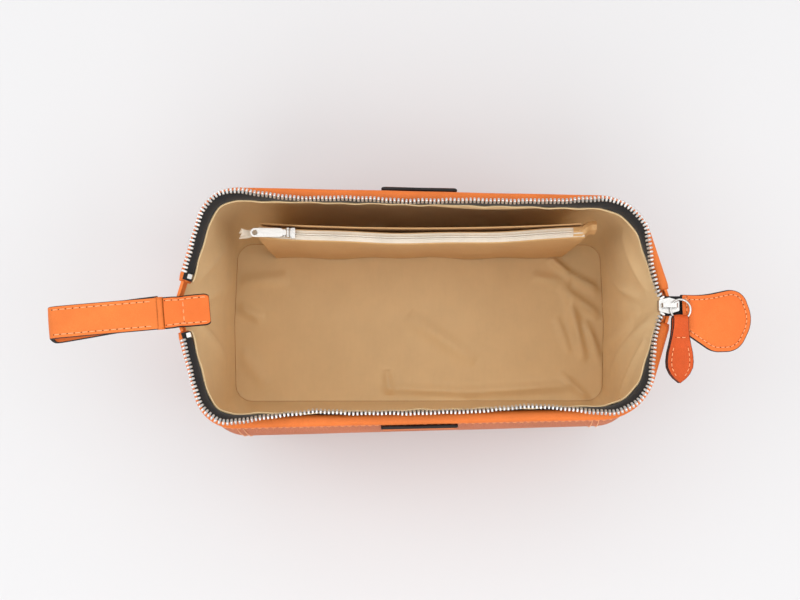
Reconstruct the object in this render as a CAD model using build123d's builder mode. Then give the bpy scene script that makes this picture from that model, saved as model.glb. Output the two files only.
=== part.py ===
"""A leather toiletry bag with a framed, zipped mouth, modelled open.

The bag stands on its base. X runs along its length, the front is at -Y and Z is up, in millimetres.
Two U frames in leather casings make the mouth. Each turns about the hinge line, which runs along X through
the sewn ends of the zip, so closing the bag swings both frames up and lets those ends sink between the walls.
"""

import os
from math import atan2, cos, degrees, radians, sin

from build123d import *

# Mouth, seen from above: the line down the middle of each casing
hinge_height = 145.0
root_half_width = 147.0
side_half_length = 127.3
left_reach = 69.0
right_reach = 63.3
left_corner_radius = 21.5
right_corner_radius = 30.5
left_end = 16.0
right_end = 11.0
closing_angle = 82.0

# Frame, casing and zip
casing_width = 7.0
casing_height = 10.0
casing_edge_radius = 2.4
casing_drop = 2.6
strip_thickness = 1.5
strip_height = 7.0
tape_thickness = 0.9
tooth_pitch = 2.4
tooth_length = 1.3
tooth_width = 2.6
tooth_height = 3.4
bead_width = 1.1
closed_gap = 0.35
stop_length = 3.2
end_gap = 1.0

# Body
base_half_length = 131.0
base_half_width = 55.5
base_fold = 2.0
base_corner_radius = 12.0
belly_height = 84.0
belly_half_length = 129.0
belly_left_width = 77.0
belly_right_width = 70.0
belly_fold = 8.0
belly_corner_radius = 20.0
seam_half_length = 110.0
leather = 1.6
board_thickness = 2.0
board_margin = 4.0
lining = 0.8
layer_gap = 0.2
seat_gap = 0.3

# Patches sewn below the front and back casings
patch_length = 46.0
patch_height = 20.0
patch_thickness = 2.2
patch_drop = 3.0
patch_offset = 2.0

# Inner pocket on the back wall
pocket_half_length = 103.0
pocket_top = 104.0
pocket_sheet = 0.7
pocket_back_y = base_half_width - 1.5
pocket_depth = 9.0
pocket_tape_width = 3.4
pocket_coil_radius = 0.9
pocket_slot = 1.0
pocket_slider_length = 9.0
pocket_slider_width = 7.0
pocket_slider_thickness = 1.4
pocket_slider_x = -84.0
puller_length = 21.0
puller_width = 5.6
puller_neck = 3.2
puller_clearance = 0.2
pin_radius = 0.8
pin_clearance = 0.06
puller_thickness = 1.3
puller_hole_radius = 1.7

# Zip slider, ring and leather pull at the right-hand end
slider_length = 12.0
slider_width = 9.6
slider_wall = 1.2
slider_gap = 2.8
slider_x = root_half_width - 2.0
bridge_width = 2.6
bridge_height = 3.6
bridge_wall = 1.1
ring_hold = 1.0
ring_radius = 5.85
ring_wire = 0.65
ring_angle = 24.0
pull_length = 40.0
pull_width = 16.0
pull_fold_width = 5.0
pull_neck_width = 8.0
pull_thickness = 3.0
pull_slope = 6.0
pull_turn = 3.0
pull_eye_radius = 1.35
pull_eye_wall = 0.9

# End tab at the right and wrist strap at the left
tab_root_x = root_half_width + 7.0
tab_root_y = -4.9
tab_turn = 14.0
tab_length = 37.0
tab_root_half = 10.6
tab_root_skew = 4.0
tab_flare_at = 23.0
tab_flare_half = 18.5
tab_end_half = 9.5
tab_flare_radius = 9.0
tab_layer = 1.5
tail_left = slider_x - 2.0
tail_right = root_half_width + 5.4
tail_width = 11.6
tail_thickness = 1.0
strap_width = 19.0
strap_layer = 1.2
strap_reach = 67.0
strap_root_x = root_half_width + 5.7
strap_gap = 9.0
strap_turn = 5.5
strap_offset = 4.4
strap_inner_length = 26.0
strap_tab_thickness = 2.4

FRONT, BACK = -1, 1
LEFT, RIGHT = -1, 1
zip_tilt = 90.0 - closing_angle
casing_bottom = hinge_height - casing_drop - casing_height
wall_top = casing_bottom - seat_gap
strap_root_radius = 2 * strap_layer + layer_gap
strap_hinge_x = strap_root_x + strap_root_radius + seat_gap


def save(part, name):
    """Labels a finished piece and writes it as one STEP file."""
    part.label = name
    export_step(part, f"parts/{name}.step")


def mouth_corner(hand):
    """Where one arm's straight line meets the long side's, on the back half."""
    return Vector(hand * side_half_length, left_reach if hand == LEFT else right_reach)


def arm_direction(hand):
    """The direction of one arm, from the hinge line to its corner."""
    return (mouth_corner(hand) - Vector(hand * root_half_width, 0)).normalized()


def inset_corner(hand, inset):
    """A corner moved inwards, so that both its lines lie the given distance further in."""
    to_root = arm_direction(hand) * -1
    along = (mouth_corner(-hand) - mouth_corner(hand)).normalized()
    half_turn = radians(to_root.get_angle(along)) / 2
    return mouth_corner(hand) + (to_root + along).normalized() * inset / sin(half_turn)


def inset_end(hand, inset, start):
    """The point of an inset arm that lies the given distance off the hinge line."""
    arm = arm_direction(hand)
    return Vector(hand * (root_half_width - inset / arm.Y) + start * arm.X / arm.Y, start)


def mouth_points(side, inset, left_start, right_start, stretch=1.0):
    """The U of one frame, from its left-hand end to its right-hand end."""
    corners = [
        inset_end(LEFT, inset, left_start),
        inset_corner(LEFT, inset),
        inset_corner(RIGHT, inset),
        inset_end(RIGHT, inset, right_start),
    ]
    return [(c.X, c.Y * side * stretch) for c in corners]


def mouth_radii(inset):
    """The radii of an inset U's two corners."""
    return [left_corner_radius - inset, right_corner_radius - inset]


def mouth_band(side, inset, width, bottom, height, shorter=0.0):
    """An upright band that follows one frame's U."""
    points = mouth_points(side, inset, left_end + shorter, right_end + shorter)
    with BuildPart() as band:
        with BuildSketch(Plane.XY.offset(bottom)):
            with BuildLine():
                FilletPolyline(*points, radius=mouth_radii(inset))
            trace(line_width=width)
        extrude(amount=height)
    return band


def zip_plane(side, below=0.0):
    """The plane through the hinge line that stands upright when the frame is closed, lowered by a distance."""
    tilt = radians(zip_tilt)
    normal = Vector(0, -side * sin(tilt), cos(tilt))
    return Plane(origin=Vector(0, 0, hinge_height) - normal * below, x_dir=(1, 0, 0), z_dir=normal)


def frame_strip(side):
    """The spring-steel U inside a casing."""
    bottom = casing_bottom + (casing_height - strip_height) / 2
    return mouth_band(side, 0.0, strip_thickness, bottom, strip_height, leather)


def frame_casing(side):
    """The rolled leather casing, with the slot that the steel lies in."""
    casing = mouth_band(side, 0.0, casing_width, casing_bottom, casing_height)
    with casing:
        rims = casing.faces().filter_by(Axis.Z).edges().filter_by(lambda e: e.length > casing_width * 1.5)
        fillet(rims, radius=casing_edge_radius)
        add(frame_strip(side).part, mode=Mode.SUBTRACT)
    return casing


def tape_inset():
    """How far the zip tape's middle lies inside the casing's middle."""
    return (casing_width + tape_thickness) / 2


def zip_tape(side):
    """One half of the zip's woven tape, standing on the casing's inner face up to the teeth."""
    foot = casing_bottom + casing_edge_radius
    tape = mouth_band(side, tape_inset(), tape_thickness, foot, casing_height * 2)
    with tape:
        split(bisect_by=zip_plane(side, closed_gap + tooth_height), keep=Keep.BOTTOM)
    return tape


def zip_teeth(side):
    """One row of teeth clamped on the tape's beaded edge, on the plane that both rows share when closed."""
    stretch = 1 / cos(radians(zip_tilt))
    points = mouth_points(side, tape_inset(), left_end + stop_length, right_end, stretch)
    path = FilletPolyline(*points, radius=mouth_radii(tape_inset()))
    count = int(path.length / tooth_pitch)
    shares = [(i + 0.5) / count for i in range(count)]
    with BuildPart() as row:
        with BuildSketch(zip_plane(side, closed_gap)):
            with BuildLine():
                add(path)
            trace(line_width=bead_width)
            with Locations(*[Location(path.position_at(s), (0, 0, tooth_heading(path, s))) for s in shares]):
                Rectangle(tooth_length, tooth_width)
        extrude(amount=-tooth_height)
    return row


def tooth_heading(path, share):
    """The direction of a row at a share of its length, in degrees from X."""
    along = path.tangent_at(share)
    return degrees(atan2(along.Y, along.X))


def top_stop(side):
    """The metal stop clamped on a row's left-hand end."""
    middle = inset_end(LEFT, tape_inset(), left_end + stop_length / 2 - layer_gap)
    turn = degrees(atan2(arm_direction(LEFT).X, arm_direction(LEFT).Y))
    with BuildPart() as stop:
        with BuildSketch(zip_plane(side, closed_gap)):
            with Locations(Location((middle.X, side * middle.Y), (0, 0, -side * turn))):
                RectangleRounded(tooth_width, stop_length - 2 * layer_gap, tooth_length / 3)
        extrude(amount=-tooth_height)
    return stop


def wall_section(level, outset, height):
    """One level of the body: a rounded rectangle whose short sides are folded out along their middle."""
    half_length, fold, left_width, right_width, left_radius, right_radius = level
    with BuildSketch(Plane.XY.offset(height)) as section:
        with BuildLine():
            Polyline(
                (-half_length - fold, 0),
                (-half_length, -left_width),
                (half_length, -right_width),
                (half_length + fold, 0),
                (half_length, right_width),
                (-half_length, left_width),
                close=True,
            )
        make_face()
        for hand, radius in ((LEFT, left_radius), (RIGHT, right_radius)):
            corners = section.vertices().filter_by(lambda v: hand * v.X > 0 and abs(v.Y) > right_width * 0.99)
            fillet(corners, radius=radius)
        offset(amount=outset, kind=Kind.INTERSECTION)
    return section


def base_level():
    """The body's outline at the base."""
    width, radius = base_half_width, base_corner_radius
    return (base_half_length, base_fold, width, width, radius, radius)


def body_solid(outset):
    """The body's full form at a distance outside the leather's inner face, from the base to the casings."""
    belly_radii = (belly_corner_radius, belly_corner_radius)
    belly = (belly_half_length, belly_fold, belly_left_width, belly_right_width, *belly_radii)
    top_fold = root_half_width - side_half_length
    top = (side_half_length, top_fold, left_reach, right_reach, *mouth_radii(0.0))
    levels = [(base_level(), leather), (belly, belly_height), (top, wall_top)]
    with BuildPart() as body:
        loft([wall_section(level, outset, height).sketch for level, height in levels])
    return body


def body_wall(inner, outer):
    """A thin wall between two distances from the leather's inner face."""
    with BuildPart() as wall:
        add(body_solid(outer).part)
        add(body_solid(inner).part, mode=Mode.SUBTRACT)
    return wall


def long_wall(wall, side):
    """The stretch of a wall between its seams, on the front or the back."""
    with BuildPart() as panel:
        add(wall.part)
        with Locations((0, side * left_reach, hinge_height / 2)):
            Box(2 * seam_half_length, 2 * left_reach, 2 * hinge_height, mode=Mode.INTERSECT)
    return panel


def end_wall(wall, side):
    """The stretch of a wall round one end, from seam to seam."""
    with BuildPart() as panel:
        add(wall.part)
        with Locations((side * (seam_half_length + root_half_width), 0, hinge_height / 2)):
            Box(2 * root_half_width, 4 * left_reach, 2 * hinge_height, mode=Mode.INTERSECT)
    return panel


def patch(side):
    """The leather patch sewn to the wall below a casing."""
    top = wall_top - patch_drop
    with BuildPart() as piece:
        add(body_solid(leather + layer_gap + patch_thickness).part)
        add(body_solid(leather + layer_gap).part, mode=Mode.SUBTRACT)
        with Locations((-patch_offset, side * left_reach, top - patch_height / 2)):
            Box(patch_length, 2 * left_reach, patch_height, mode=Mode.INTERSECT)
    return piece


def floor_plate(outset, bottom, thickness):
    """A flat layer of the base, set in or out from the leather's inner face."""
    outline = wall_section(base_level(), outset, bottom)
    with BuildPart() as plate:
        extrude(outline.sketch, amount=thickness)
    return plate


def pocket_sheet_panel(y, top):
    """One upright cloth sheet of the pocket, standing on the floor lining."""
    bottom = leather + board_thickness + lining + layer_gap
    with BuildPart() as sheet:
        with BuildSketch(Plane.XZ.offset(-y)):
            with Locations((0, (bottom + top) / 2)):
                RectangleRounded(2 * pocket_half_length, top - bottom, pocket_slot)
        extrude(amount=pocket_sheet)
    return sheet


def pocket_front_y():
    """Where the pocket's front sheet stands."""
    return pocket_back_y - pocket_depth


def pocket_middle_y():
    """The middle of the pocket's zip, between its two sheets."""
    return pocket_back_y - (pocket_depth + pocket_sheet) / 2


def pocket_tape(side):
    """One half of the pocket zip's tape, lying flat on a sheet's top edge."""
    with BuildPart() as tape:
        y = pocket_middle_y() + side * (pocket_slot + pocket_tape_width) / 2
        with Locations((0, y, pocket_top)):
            Box(2 * pocket_half_length, pocket_tape_width, pocket_sheet, align=(Align.CENTER, Align.CENTER, Align.MIN))
    return tape


def pocket_coil(side):
    """One half of the pocket zip's nylon coil, lying on its tape."""
    y = pocket_middle_y() + side * (pocket_slot / 2 + pocket_coil_radius)
    z = pocket_top + pocket_sheet + pocket_coil_radius
    with BuildPart() as coil:
        with BuildSketch(Plane.YZ.offset(-pocket_half_length)):
            with Locations((y, z)):
                Circle(pocket_coil_radius)
        extrude(amount=2 * pocket_half_length)
    return coil


def pocket_slider():
    """The pocket zip's slider: a tapered plate above the coil, with the pin that its puller turns on."""
    bottom = pocket_top + pocket_sheet + 2 * pocket_coil_radius + seat_gap
    ear_gap = puller_neck + 2 * puller_clearance
    with BuildPart() as slider:
        with BuildSketch(Plane.XY.offset(bottom)):
            with Locations((pocket_slider_x, pocket_middle_y())):
                Trapezoid(pocket_slider_width, pocket_slider_length, 80, rotation=90)
        extrude(amount=pocket_slider_thickness)
        fillet(slider.edges().filter_by(Axis.Z), radius=pocket_slot)
        with Locations((pocket_slider_x, pocket_middle_y(), puller_pin_height())):
            Cylinder(pin_radius, ear_gap + 2 * pocket_slot, rotation=(90, 0, 0))
            with GridLocations(0, ear_gap + pocket_slot, 1, 2):
                Cylinder(2 * pin_radius, pocket_slot, rotation=(90, 0, 0))
    return slider


def puller_pin_height():
    """The height of the pin that the pocket's puller turns on."""
    slider_top = pocket_top + pocket_sheet + 2 * pocket_coil_radius + seat_gap + pocket_slider_thickness
    return slider_top + pin_radius * 1.6


def pocket_puller():
    """The pocket zip's flat metal puller, with a round hole at its free end."""
    plate_end = pocket_slider_x - 3 * pin_radius
    with BuildPart() as puller:
        with BuildSketch(Plane.XY.offset(puller_pin_height() - puller_thickness / 2)):
            with Locations((plate_end - puller_length / 2, pocket_middle_y())):
                SlotOverall(puller_length, puller_width)
            with Locations((plate_end, pocket_middle_y())):
                Rectangle(6 * pin_radius, puller_neck)
            with Locations((plate_end - puller_length + puller_width / 2, pocket_middle_y())):
                Circle(puller_hole_radius, mode=Mode.SUBTRACT)
        extrude(amount=puller_thickness)
        with Locations((pocket_slider_x, pocket_middle_y(), puller_pin_height())):
            Cylinder(pin_radius * 1.5, puller_neck, rotation=(90, 0, 0))
            Cylinder(pin_radius + pin_clearance, puller_width, rotation=(90, 0, 0), mode=Mode.SUBTRACT)
    return puller


def slider_body():
    """The zip's slider: two shield-shaped plates joined by the wedge that parts the rows."""
    half = slider_length / 2
    low = hinge_height - slider_gap / 2 - slider_wall
    with BuildPart() as slider:
        with BuildSketch(Plane.XY.offset(low)):
            with BuildLine():
                Polyline(
                    (slider_x + half, slider_width * 0.32),
                    (slider_x, slider_width * 0.5),
                    (slider_x - half, slider_width * 0.34),
                    (slider_x - half, -slider_width * 0.34),
                    (slider_x, -slider_width * 0.5),
                    (slider_x + half, -slider_width * 0.32),
                    close=True,
                )
            make_face()
        extrude(amount=slider_gap + 2 * slider_wall)
        fillet(slider.edges().filter_by(Axis.Z), radius=slider_wall)
        with Locations((slider_x + slider_length * 0.22, 0, hinge_height)):
            Box(slider_length, 2 * slider_width, slider_gap, mode=Mode.SUBTRACT)
        with Locations((slider_x - half + slider_wall, 0, hinge_height)):
            Cylinder(slider_wall, slider_gap)
    return slider


def slider_top():
    """The height of the slider's upper face."""
    return hinge_height + slider_gap / 2 + slider_wall


def slider_bridge():
    """The bow on the slider's back that holds the ring."""
    with BuildPart() as bridge:
        with BuildSketch(Plane.XZ.offset(bridge_width / 2)):
            with Locations((slider_x, slider_top())):
                Rectangle(slider_length * 0.8, bridge_height, align=(Align.CENTER, Align.MIN))
        extrude(amount=-bridge_width)
        tops = bridge.edges().filter_by(Axis.Y).group_by(Axis.Z)[-1]
        fillet(tops, radius=bridge_height * 0.6)
        with Locations((slider_x, 0, slider_top())):
            Box(
                slider_length * 0.8 - 2 * bridge_wall,
                2 * bridge_width,
                bridge_height - bridge_wall,
                align=(Align.CENTER, Align.CENTER, Align.MIN),
                mode=Mode.SUBTRACT,
            )
    return bridge


def ring_height():
    """The height at which the ring lies through the bridge."""
    return slider_top() + (bridge_height - bridge_wall) / 2


def ring_centre():
    """The middle of the ring, out to the right and forward of the bridge."""
    hold = slider_x + ring_hold
    turn = radians(ring_angle)
    return (hold + ring_radius * cos(turn), -ring_radius * sin(turn), ring_height())


def pull_ring():
    """The round wire ring between the slider and the leather pull."""
    with BuildPart() as ring:
        with Locations(ring_centre()):
            Torus(ring_radius, ring_wire)
    return ring


def pull_plane():
    """The plane of the leather pull: its origin where it turns on the ring, its Y along the pull."""
    x, y, z = ring_centre()
    level = Plane(origin=(x, y - ring_radius, z), x_dir=(-1, 0, 0), z_dir=(0, 0, 1))
    return level.rotated((-pull_slope, 0, pull_turn))


def leather_pull():
    """The pointed leather pull: one strip folded round the ring and sewn to itself."""
    plane = pull_plane()
    fold, neck, belly = pull_fold_width / 2, pull_neck_width / 2, pull_width / 2
    eye_outer = pull_eye_radius + pull_eye_wall
    with BuildPart() as pull:
        with BuildSketch(plane.offset(-pull_thickness / 2)):
            with BuildLine():
                root = Line((fold, 0), (fold, eye_outer))
                flank = Spline(
                    root @ 1,
                    (neck, pull_length * 0.2),
                    (belly, pull_length * 0.62),
                    (0, pull_length),
                    tangents=[(0.5, 1), (-1, 0.5)],
                )
                mirror(root, about=Plane.YZ)
                mirror(flank, about=Plane.YZ)
                Line((-fold, 0), (fold, 0))
            make_face()
        extrude(amount=pull_thickness)
        eye = Plane(plane.origin, x_dir=plane.y_dir, z_dir=(1, 0, 0))
        with BuildSketch(eye):
            Circle(eye_outer)
        extrude(amount=fold, both=True)
        with BuildSketch(eye):
            Circle(pull_eye_radius)
        extrude(amount=belly, both=True, mode=Mode.SUBTRACT)
    return pull


def zip_tail():
    """The end of the zip's tapes, from inside the slider to the end tab."""
    with BuildPart() as tail:
        with BuildSketch(Plane.XY.offset(hinge_height - tail_thickness)):
            with Locations(((tail_left + tail_right) / 2, 0)):
                Rectangle(tail_right - tail_left, tail_width)
        extrude(amount=tail_thickness)
    return tail


def mouth_hem(hand, top):
    """The gusset's gathered top edge between two casing ends, which carries what is sewn to the hinge line."""
    reach = (left_end if hand == LEFT else right_end) - end_gap
    ends = [inset_end(hand, 0.0, reach), Vector(hand * root_half_width, 0)]
    with BuildPart() as hem:
        with BuildSketch(Plane.XY.offset(casing_bottom)):
            with BuildLine():
                Polyline((ends[0].X, reach), (ends[1].X, 0), (ends[0].X, -reach))
            trace(line_width=leather)
        extrude(amount=top - casing_bottom)
        if hand == RIGHT:
            with Locations((slider_x, 0, hinge_height)):
                Box(
                    2 * slider_length,
                    slider_width + 2 * seat_gap,
                    slider_gap + 2 * slider_wall + 2 * seat_gap,
                    mode=Mode.SUBTRACT,
                )
    return hem


def tab_layer_piece(bottom):
    """One leather layer of the fan-shaped end tab."""
    plane = Plane(origin=(tab_root_x, tab_root_y, bottom)).rotated((0, 0, -tab_turn))
    with BuildPart() as layer:
        with BuildSketch(plane):
            with BuildLine():
                Polyline(
                    (-tab_root_skew, tab_root_half),
                    (tab_root_skew, -tab_root_half),
                    (tab_flare_at, -tab_flare_half),
                    (tab_length, -tab_end_half),
                    (tab_length, tab_end_half),
                    (tab_flare_at, tab_flare_half),
                    close=True,
                )
            make_face()
        extrude(amount=tab_layer)
        flares = layer.edges().filter_by(Axis.Z).sort_by_distance(plane.origin)[2:]
        fillet(flares, radius=tab_flare_radius)
    return layer


def strap_plane():
    """The upright plane of the wrist strap's loop, with its X pointing out to the left."""
    turn = radians(strap_turn)
    return Plane(
        origin=(-strap_hinge_x, -strap_offset, hinge_height),
        x_dir=(-cos(turn), -sin(turn), 0),
        z_dir=(-sin(turn), cos(turn), 0),
    )


def strap_loop(depth, start):
    """One layer of the wrist strap, folded into a loop that narrows to where it is sewn."""
    half = strap_gap / 2 + 2 * strap_layer - depth
    root = strap_root_radius - depth
    bend = strap_reach - 2 * strap_layer - strap_gap / 2
    with BuildPart() as loop:
        with BuildSketch(strap_plane()):
            with BuildLine():
                upper = Spline((start, root), (bend * 0.5, half), (bend, half), tangents=[(1, 0.1), (1, 0)])
                lower = Spline((start, -root), (bend * 0.5, -half), (bend, -half), tangents=[(1, -0.1), (1, 0)])
                ThreePointArc(upper @ 1, (bend + half, 0), lower @ 1)
            trace(line_width=strap_layer)
        extrude(amount=strap_width / 2, both=True)
    return loop


def wrist_strap():
    """The strap's outer layer, with the rolled root that it turns on."""
    with BuildPart() as strap:
        add(strap_loop(strap_layer / 2, 0.0).part)
        with BuildSketch(strap_plane()):
            Circle(strap_root_radius)
        extrude(amount=strap_width / 2, both=True)
    return strap


def strap_backing():
    """The strap's inner layer."""
    return strap_loop(strap_layer * 1.5 + layer_gap / 2, strap_root_radius + layer_gap)


def strap_tab():
    """The strap's sewn end, which lies over the zip's end inside the mouth."""
    plane = Plane(origin=(-strap_root_x, -strap_offset, hinge_height - strap_tab_thickness / 2))
    with BuildPart() as tab:
        with BuildSketch(plane.rotated((0, 0, strap_turn))):
            with Locations((strap_inner_length / 2, 0)):
                RectangleRounded(strap_inner_length, strap_width, strap_layer)
        extrude(amount=strap_tab_thickness)
    return tab


def build():
    """Makes every piece of the bag and writes it."""
    os.makedirs("parts", exist_ok=True)
    for side, word in ((FRONT, "front"), (BACK, "back")):
        save(frame_strip(side).part, f"{word}_frame_strip")
        save(frame_casing(side).part, f"{word}_casing")
        save(zip_tape(side).part, f"{word}_zip_tape")
        save(zip_teeth(side).part, f"{word}_zip_teeth")
        save(top_stop(side).part, f"{word}_top_stop")
        save(patch(side).part, f"{word}_patch")
    outer = body_wall(0.0, leather)
    inner = body_wall(-layer_gap - lining, -layer_gap)
    for side, word in ((FRONT, "front"), (BACK, "back")):
        save(long_wall(outer, side).part, f"{word}_panel")
        save(long_wall(inner, side).part, f"{word}_lining")
    for side, word in ((-1, "left"), (1, "right")):
        save(end_wall(outer, side).part, f"{word}_gusset")
        save(end_wall(inner, side).part, f"{word}_lining")
    save(floor_plate(leather, 0.0, leather).part, "base_panel")
    save(floor_plate(-board_margin, leather, board_thickness).part, "base_board")
    save(floor_plate(-layer_gap - lining - layer_gap, leather + board_thickness, lining).part, "floor_lining")
    save(pocket_sheet_panel(pocket_back_y, pocket_top).part, "pocket_back")
    save(pocket_sheet_panel(pocket_front_y(), pocket_top).part, "pocket_front")
    save(pocket_tape(FRONT).part, "pocket_tape_front")
    save(pocket_tape(BACK).part, "pocket_tape_back")
    save(pocket_coil(FRONT).part, "pocket_coil_front")
    save(pocket_coil(BACK).part, "pocket_coil_back")
    save(pocket_slider().part, "pocket_slider")
    save(pocket_puller().part, "pocket_puller")
    save(slider_body().part, "slider_body")
    save(slider_bridge().part, "slider_bridge")
    save(pull_ring().part, "pull_ring")
    save(leather_pull().part, "leather_pull")
    save(zip_tail().part, "zip_tail")
    save(mouth_hem(LEFT, hinge_height - strap_tab_thickness / 2).part, "left_hem")
    save(mouth_hem(RIGHT, hinge_height - tail_thickness).part, "right_hem")
    save(tab_layer_piece(hinge_height).part, "end_tab_upper")
    save(tab_layer_piece(hinge_height - tail_thickness - tab_layer).part, "end_tab_lower")
    save(wrist_strap().part, "wrist_strap")
    save(strap_backing().part, "strap_backing")
    save(strap_tab().part, "strap_tab")


build()
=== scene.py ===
"""The leather toiletry bag, dressed: frame mouth, zip, lining, inner pocket, wrist strap and end tab.

Lengths are in metres. X runs along the bag to the zip slider, +Y to the wall with the inner pocket, Z up.
"""

import logging
import math
from dataclasses import dataclass
from enum import Enum
from itertools import product

import bpy
import numpy as np
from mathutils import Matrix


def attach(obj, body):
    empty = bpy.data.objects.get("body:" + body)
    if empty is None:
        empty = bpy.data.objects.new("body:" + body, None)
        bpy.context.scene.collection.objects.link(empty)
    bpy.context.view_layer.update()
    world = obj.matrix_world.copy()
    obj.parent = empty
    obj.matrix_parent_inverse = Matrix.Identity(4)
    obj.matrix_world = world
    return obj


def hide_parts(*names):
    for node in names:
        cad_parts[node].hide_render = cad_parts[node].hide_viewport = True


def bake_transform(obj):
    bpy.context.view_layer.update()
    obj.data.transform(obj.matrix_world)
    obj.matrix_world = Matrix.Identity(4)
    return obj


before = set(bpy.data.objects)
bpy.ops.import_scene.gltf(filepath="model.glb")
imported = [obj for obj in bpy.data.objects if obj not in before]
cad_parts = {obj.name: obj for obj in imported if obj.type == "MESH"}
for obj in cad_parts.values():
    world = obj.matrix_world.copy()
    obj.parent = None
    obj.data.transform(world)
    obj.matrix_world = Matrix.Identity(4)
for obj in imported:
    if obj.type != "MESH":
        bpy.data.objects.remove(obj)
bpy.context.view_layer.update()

logging.basicConfig(level=logging.INFO, format="%(message)s")
log = logging.getLogger("toiletry_bag")

HINGE_HEIGHT = 0.145
MM = 0.001
UP = np.array([0.0, 0.0, 1.0])
SEAM = 0.085
"""The height where each skin of the body is cut into a lower part and an upper part for each frame."""
WALL_FOOT = 0.0016
"""The height of the walls' low edge."""
WALL_TOP = HINGE_HEIGHT - 0.0126
# A height inside the casings, just above the top edge of the leather and the lining.
"""The height where a wall has all its frame's swing, inside the casings."""
SKIN_TOP = WALL_TOP - 0.0002
"""The height of the top edge of the leather and the lining."""
LEATHER = 0.0016
"""The thickness of the walls' leather."""
SEAM_OUTSET = 0.0017
"""How far outside the leather's inner face the upright seams are sewn."""
LINING_FLOOR = 0.0046
"""The height of the floor lining."""
POLE = 0.001
"""The share of its size that a closed piece's last ring keeps."""
"""How far from the bag's middle plane a wall has all its frame's swing."""
"""How much longer the floor lining is cut than its outline, so that it can crease."""
"""Ribbons narrower than this aren't declared as sheets."""
Object = bpy.types.Object
Material = bpy.types.Material
Socket = bpy.types.NodeSocket
Value = Socket | float
Triple = tuple[float, float, float]


class Half(Enum):
    """The two halves of the mouth, with the sign of their Y and the body they ride on."""

    FRONT = (-1, "front_frame", "front")
    BACK = (1, "back_frame", "back")

    @property
    def sign(self) -> int:
        """The sign of this half's Y."""
        return self.value[0]

    @property
    def body(self) -> str:
        """The body that this half rides on."""
        return self.value[1]

    @property
    def word(self) -> str:
        """The word that this half's pieces begin with."""
        return self.value[2]


# Meshes worked out on grids


def smooth(t: np.ndarray) -> np.ndarray:
    """A soft step from 0 to 1: three times the square of t less twice its cube, with t held from 0 to 1."""
    t = np.clip(t, 0.0, 1.0)
    return t * t * (3.0 - 2.0 * t)


def bump(x: np.ndarray, centre: float, width: float) -> np.ndarray:
    """A bell: e to the minus square of the distance from the centre in widths."""
    return np.exp(-(((x - centre) / width) ** 2))


def make_mesh(
    name: str,
    points: np.ndarray,
    faces: np.ndarray,
    material: Material,
    uv: np.ndarray | None = None,
) -> Object:
    """Puts points and faces into a new smooth-shaded object.

    Args:
        name: The object's name.
        points: An array of N by 3 positions.
        faces: An array of M by 4 vertex numbers, anticlockwise from outside.
        material: The finish.
        uv: An array of N by 2 lengths along the surface, where a pattern follows it.

    Returns:
        The object, at the origin.
    """
    mesh = bpy.data.meshes.new(name)
    mesh.from_pydata(points.reshape(-1, 3).tolist(), [], faces.tolist())
    mesh.polygons.foreach_set("use_smooth", np.ones(len(mesh.polygons), bool))
    if uv is not None:
        layer = mesh.uv_layers.new(name="along")
        corner = np.empty(len(mesh.loops), np.int32)
        mesh.loops.foreach_get("vertex_index", corner)
        layer.data.foreach_set("uv", uv.reshape(-1, 2)[corner].astype(np.float32).ravel())
    mesh.materials.append(material)
    mesh.validate()
    made = bpy.data.objects.new(name, mesh)
    bpy.context.scene.collection.objects.link(made)
    return made


def grid_faces(rows: int, columns: int, wrap: bool = False, flip: bool = False) -> np.ndarray:
    """The faces of a grid of points, row by row.

    Args:
        rows: How many rows of points there are.
        columns: How many points a row has.
        wrap: Joins the last column to the first.
        flip: Turns the faces over.

    Returns:
        An array of M by 4 vertex numbers.
    """
    number = np.arange(rows * columns).reshape(rows, columns)
    if wrap:
        number = np.concatenate([number, number[:, :1]], axis=1)
    quads = np.stack([number[:-1, :-1], number[:-1, 1:], number[1:, 1:], number[1:, :-1]], axis=-1)
    quads = quads.reshape(-1, 4)
    return quads[:, ::-1] if flip else quads


def outward(points: np.ndarray, faces: np.ndarray) -> np.ndarray:
    """A closed piece's faces, turned over if they face inwards: their signed cones add up to its volume.

    Args:
        points: The piece's points.
        faces: Its faces.

    Returns:
        The faces, all outwards.
    """
    a, b, c, d = (points.reshape(-1, 3)[faces[:, k]] for k in range(4))
    volume = (a * np.cross(b, c)).sum() + (a * np.cross(c, d)).sum()
    return faces if volume > 0 else faces[:, ::-1]


def lengths(points: np.ndarray, axis: int) -> np.ndarray:
    """The length run along one axis of a grid of points, from 0 at its first point."""
    step = np.linalg.norm(np.diff(points, axis=axis), axis=-1)
    return np.concatenate([np.zeros_like(step.take([0], axis)), np.cumsum(step, axis)], axis)


def laid_flat(points: np.ndarray) -> np.ndarray:
    """The UV map of a grid of points: the lengths run along its rows and down its columns."""
    return np.stack([lengths(points, 1), lengths(points, 0)], axis=-1)


def mean_lengths(points: np.ndarray) -> tuple[float, float]:
    """The mean lengths of a grid of points, along its rows and down its columns."""
    return float(lengths(points, 1)[:, -1].mean()), float(lengths(points, 0)[-1].mean())


def mesh_points(piece: Object) -> np.ndarray:
    """The places of a piece's vertices.

    Args:
        piece: The object.

    Returns:
        N by 3 points.
    """
    place = np.empty(len(piece.data.vertices) * 3, np.float32)
    piece.data.vertices.foreach_get("co", place)
    return place.reshape(-1, 3)


def grid_surface(
    name: str, points: np.ndarray, material: Material, wrap: bool = False, flip: bool = False
) -> Object:
    """A surface through a grid of rows by columns of points, with its lengths as its UV map."""
    return make_mesh(name, points, grid_faces(*points.shape[:2], wrap, flip), material, laid_flat(points))


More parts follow.
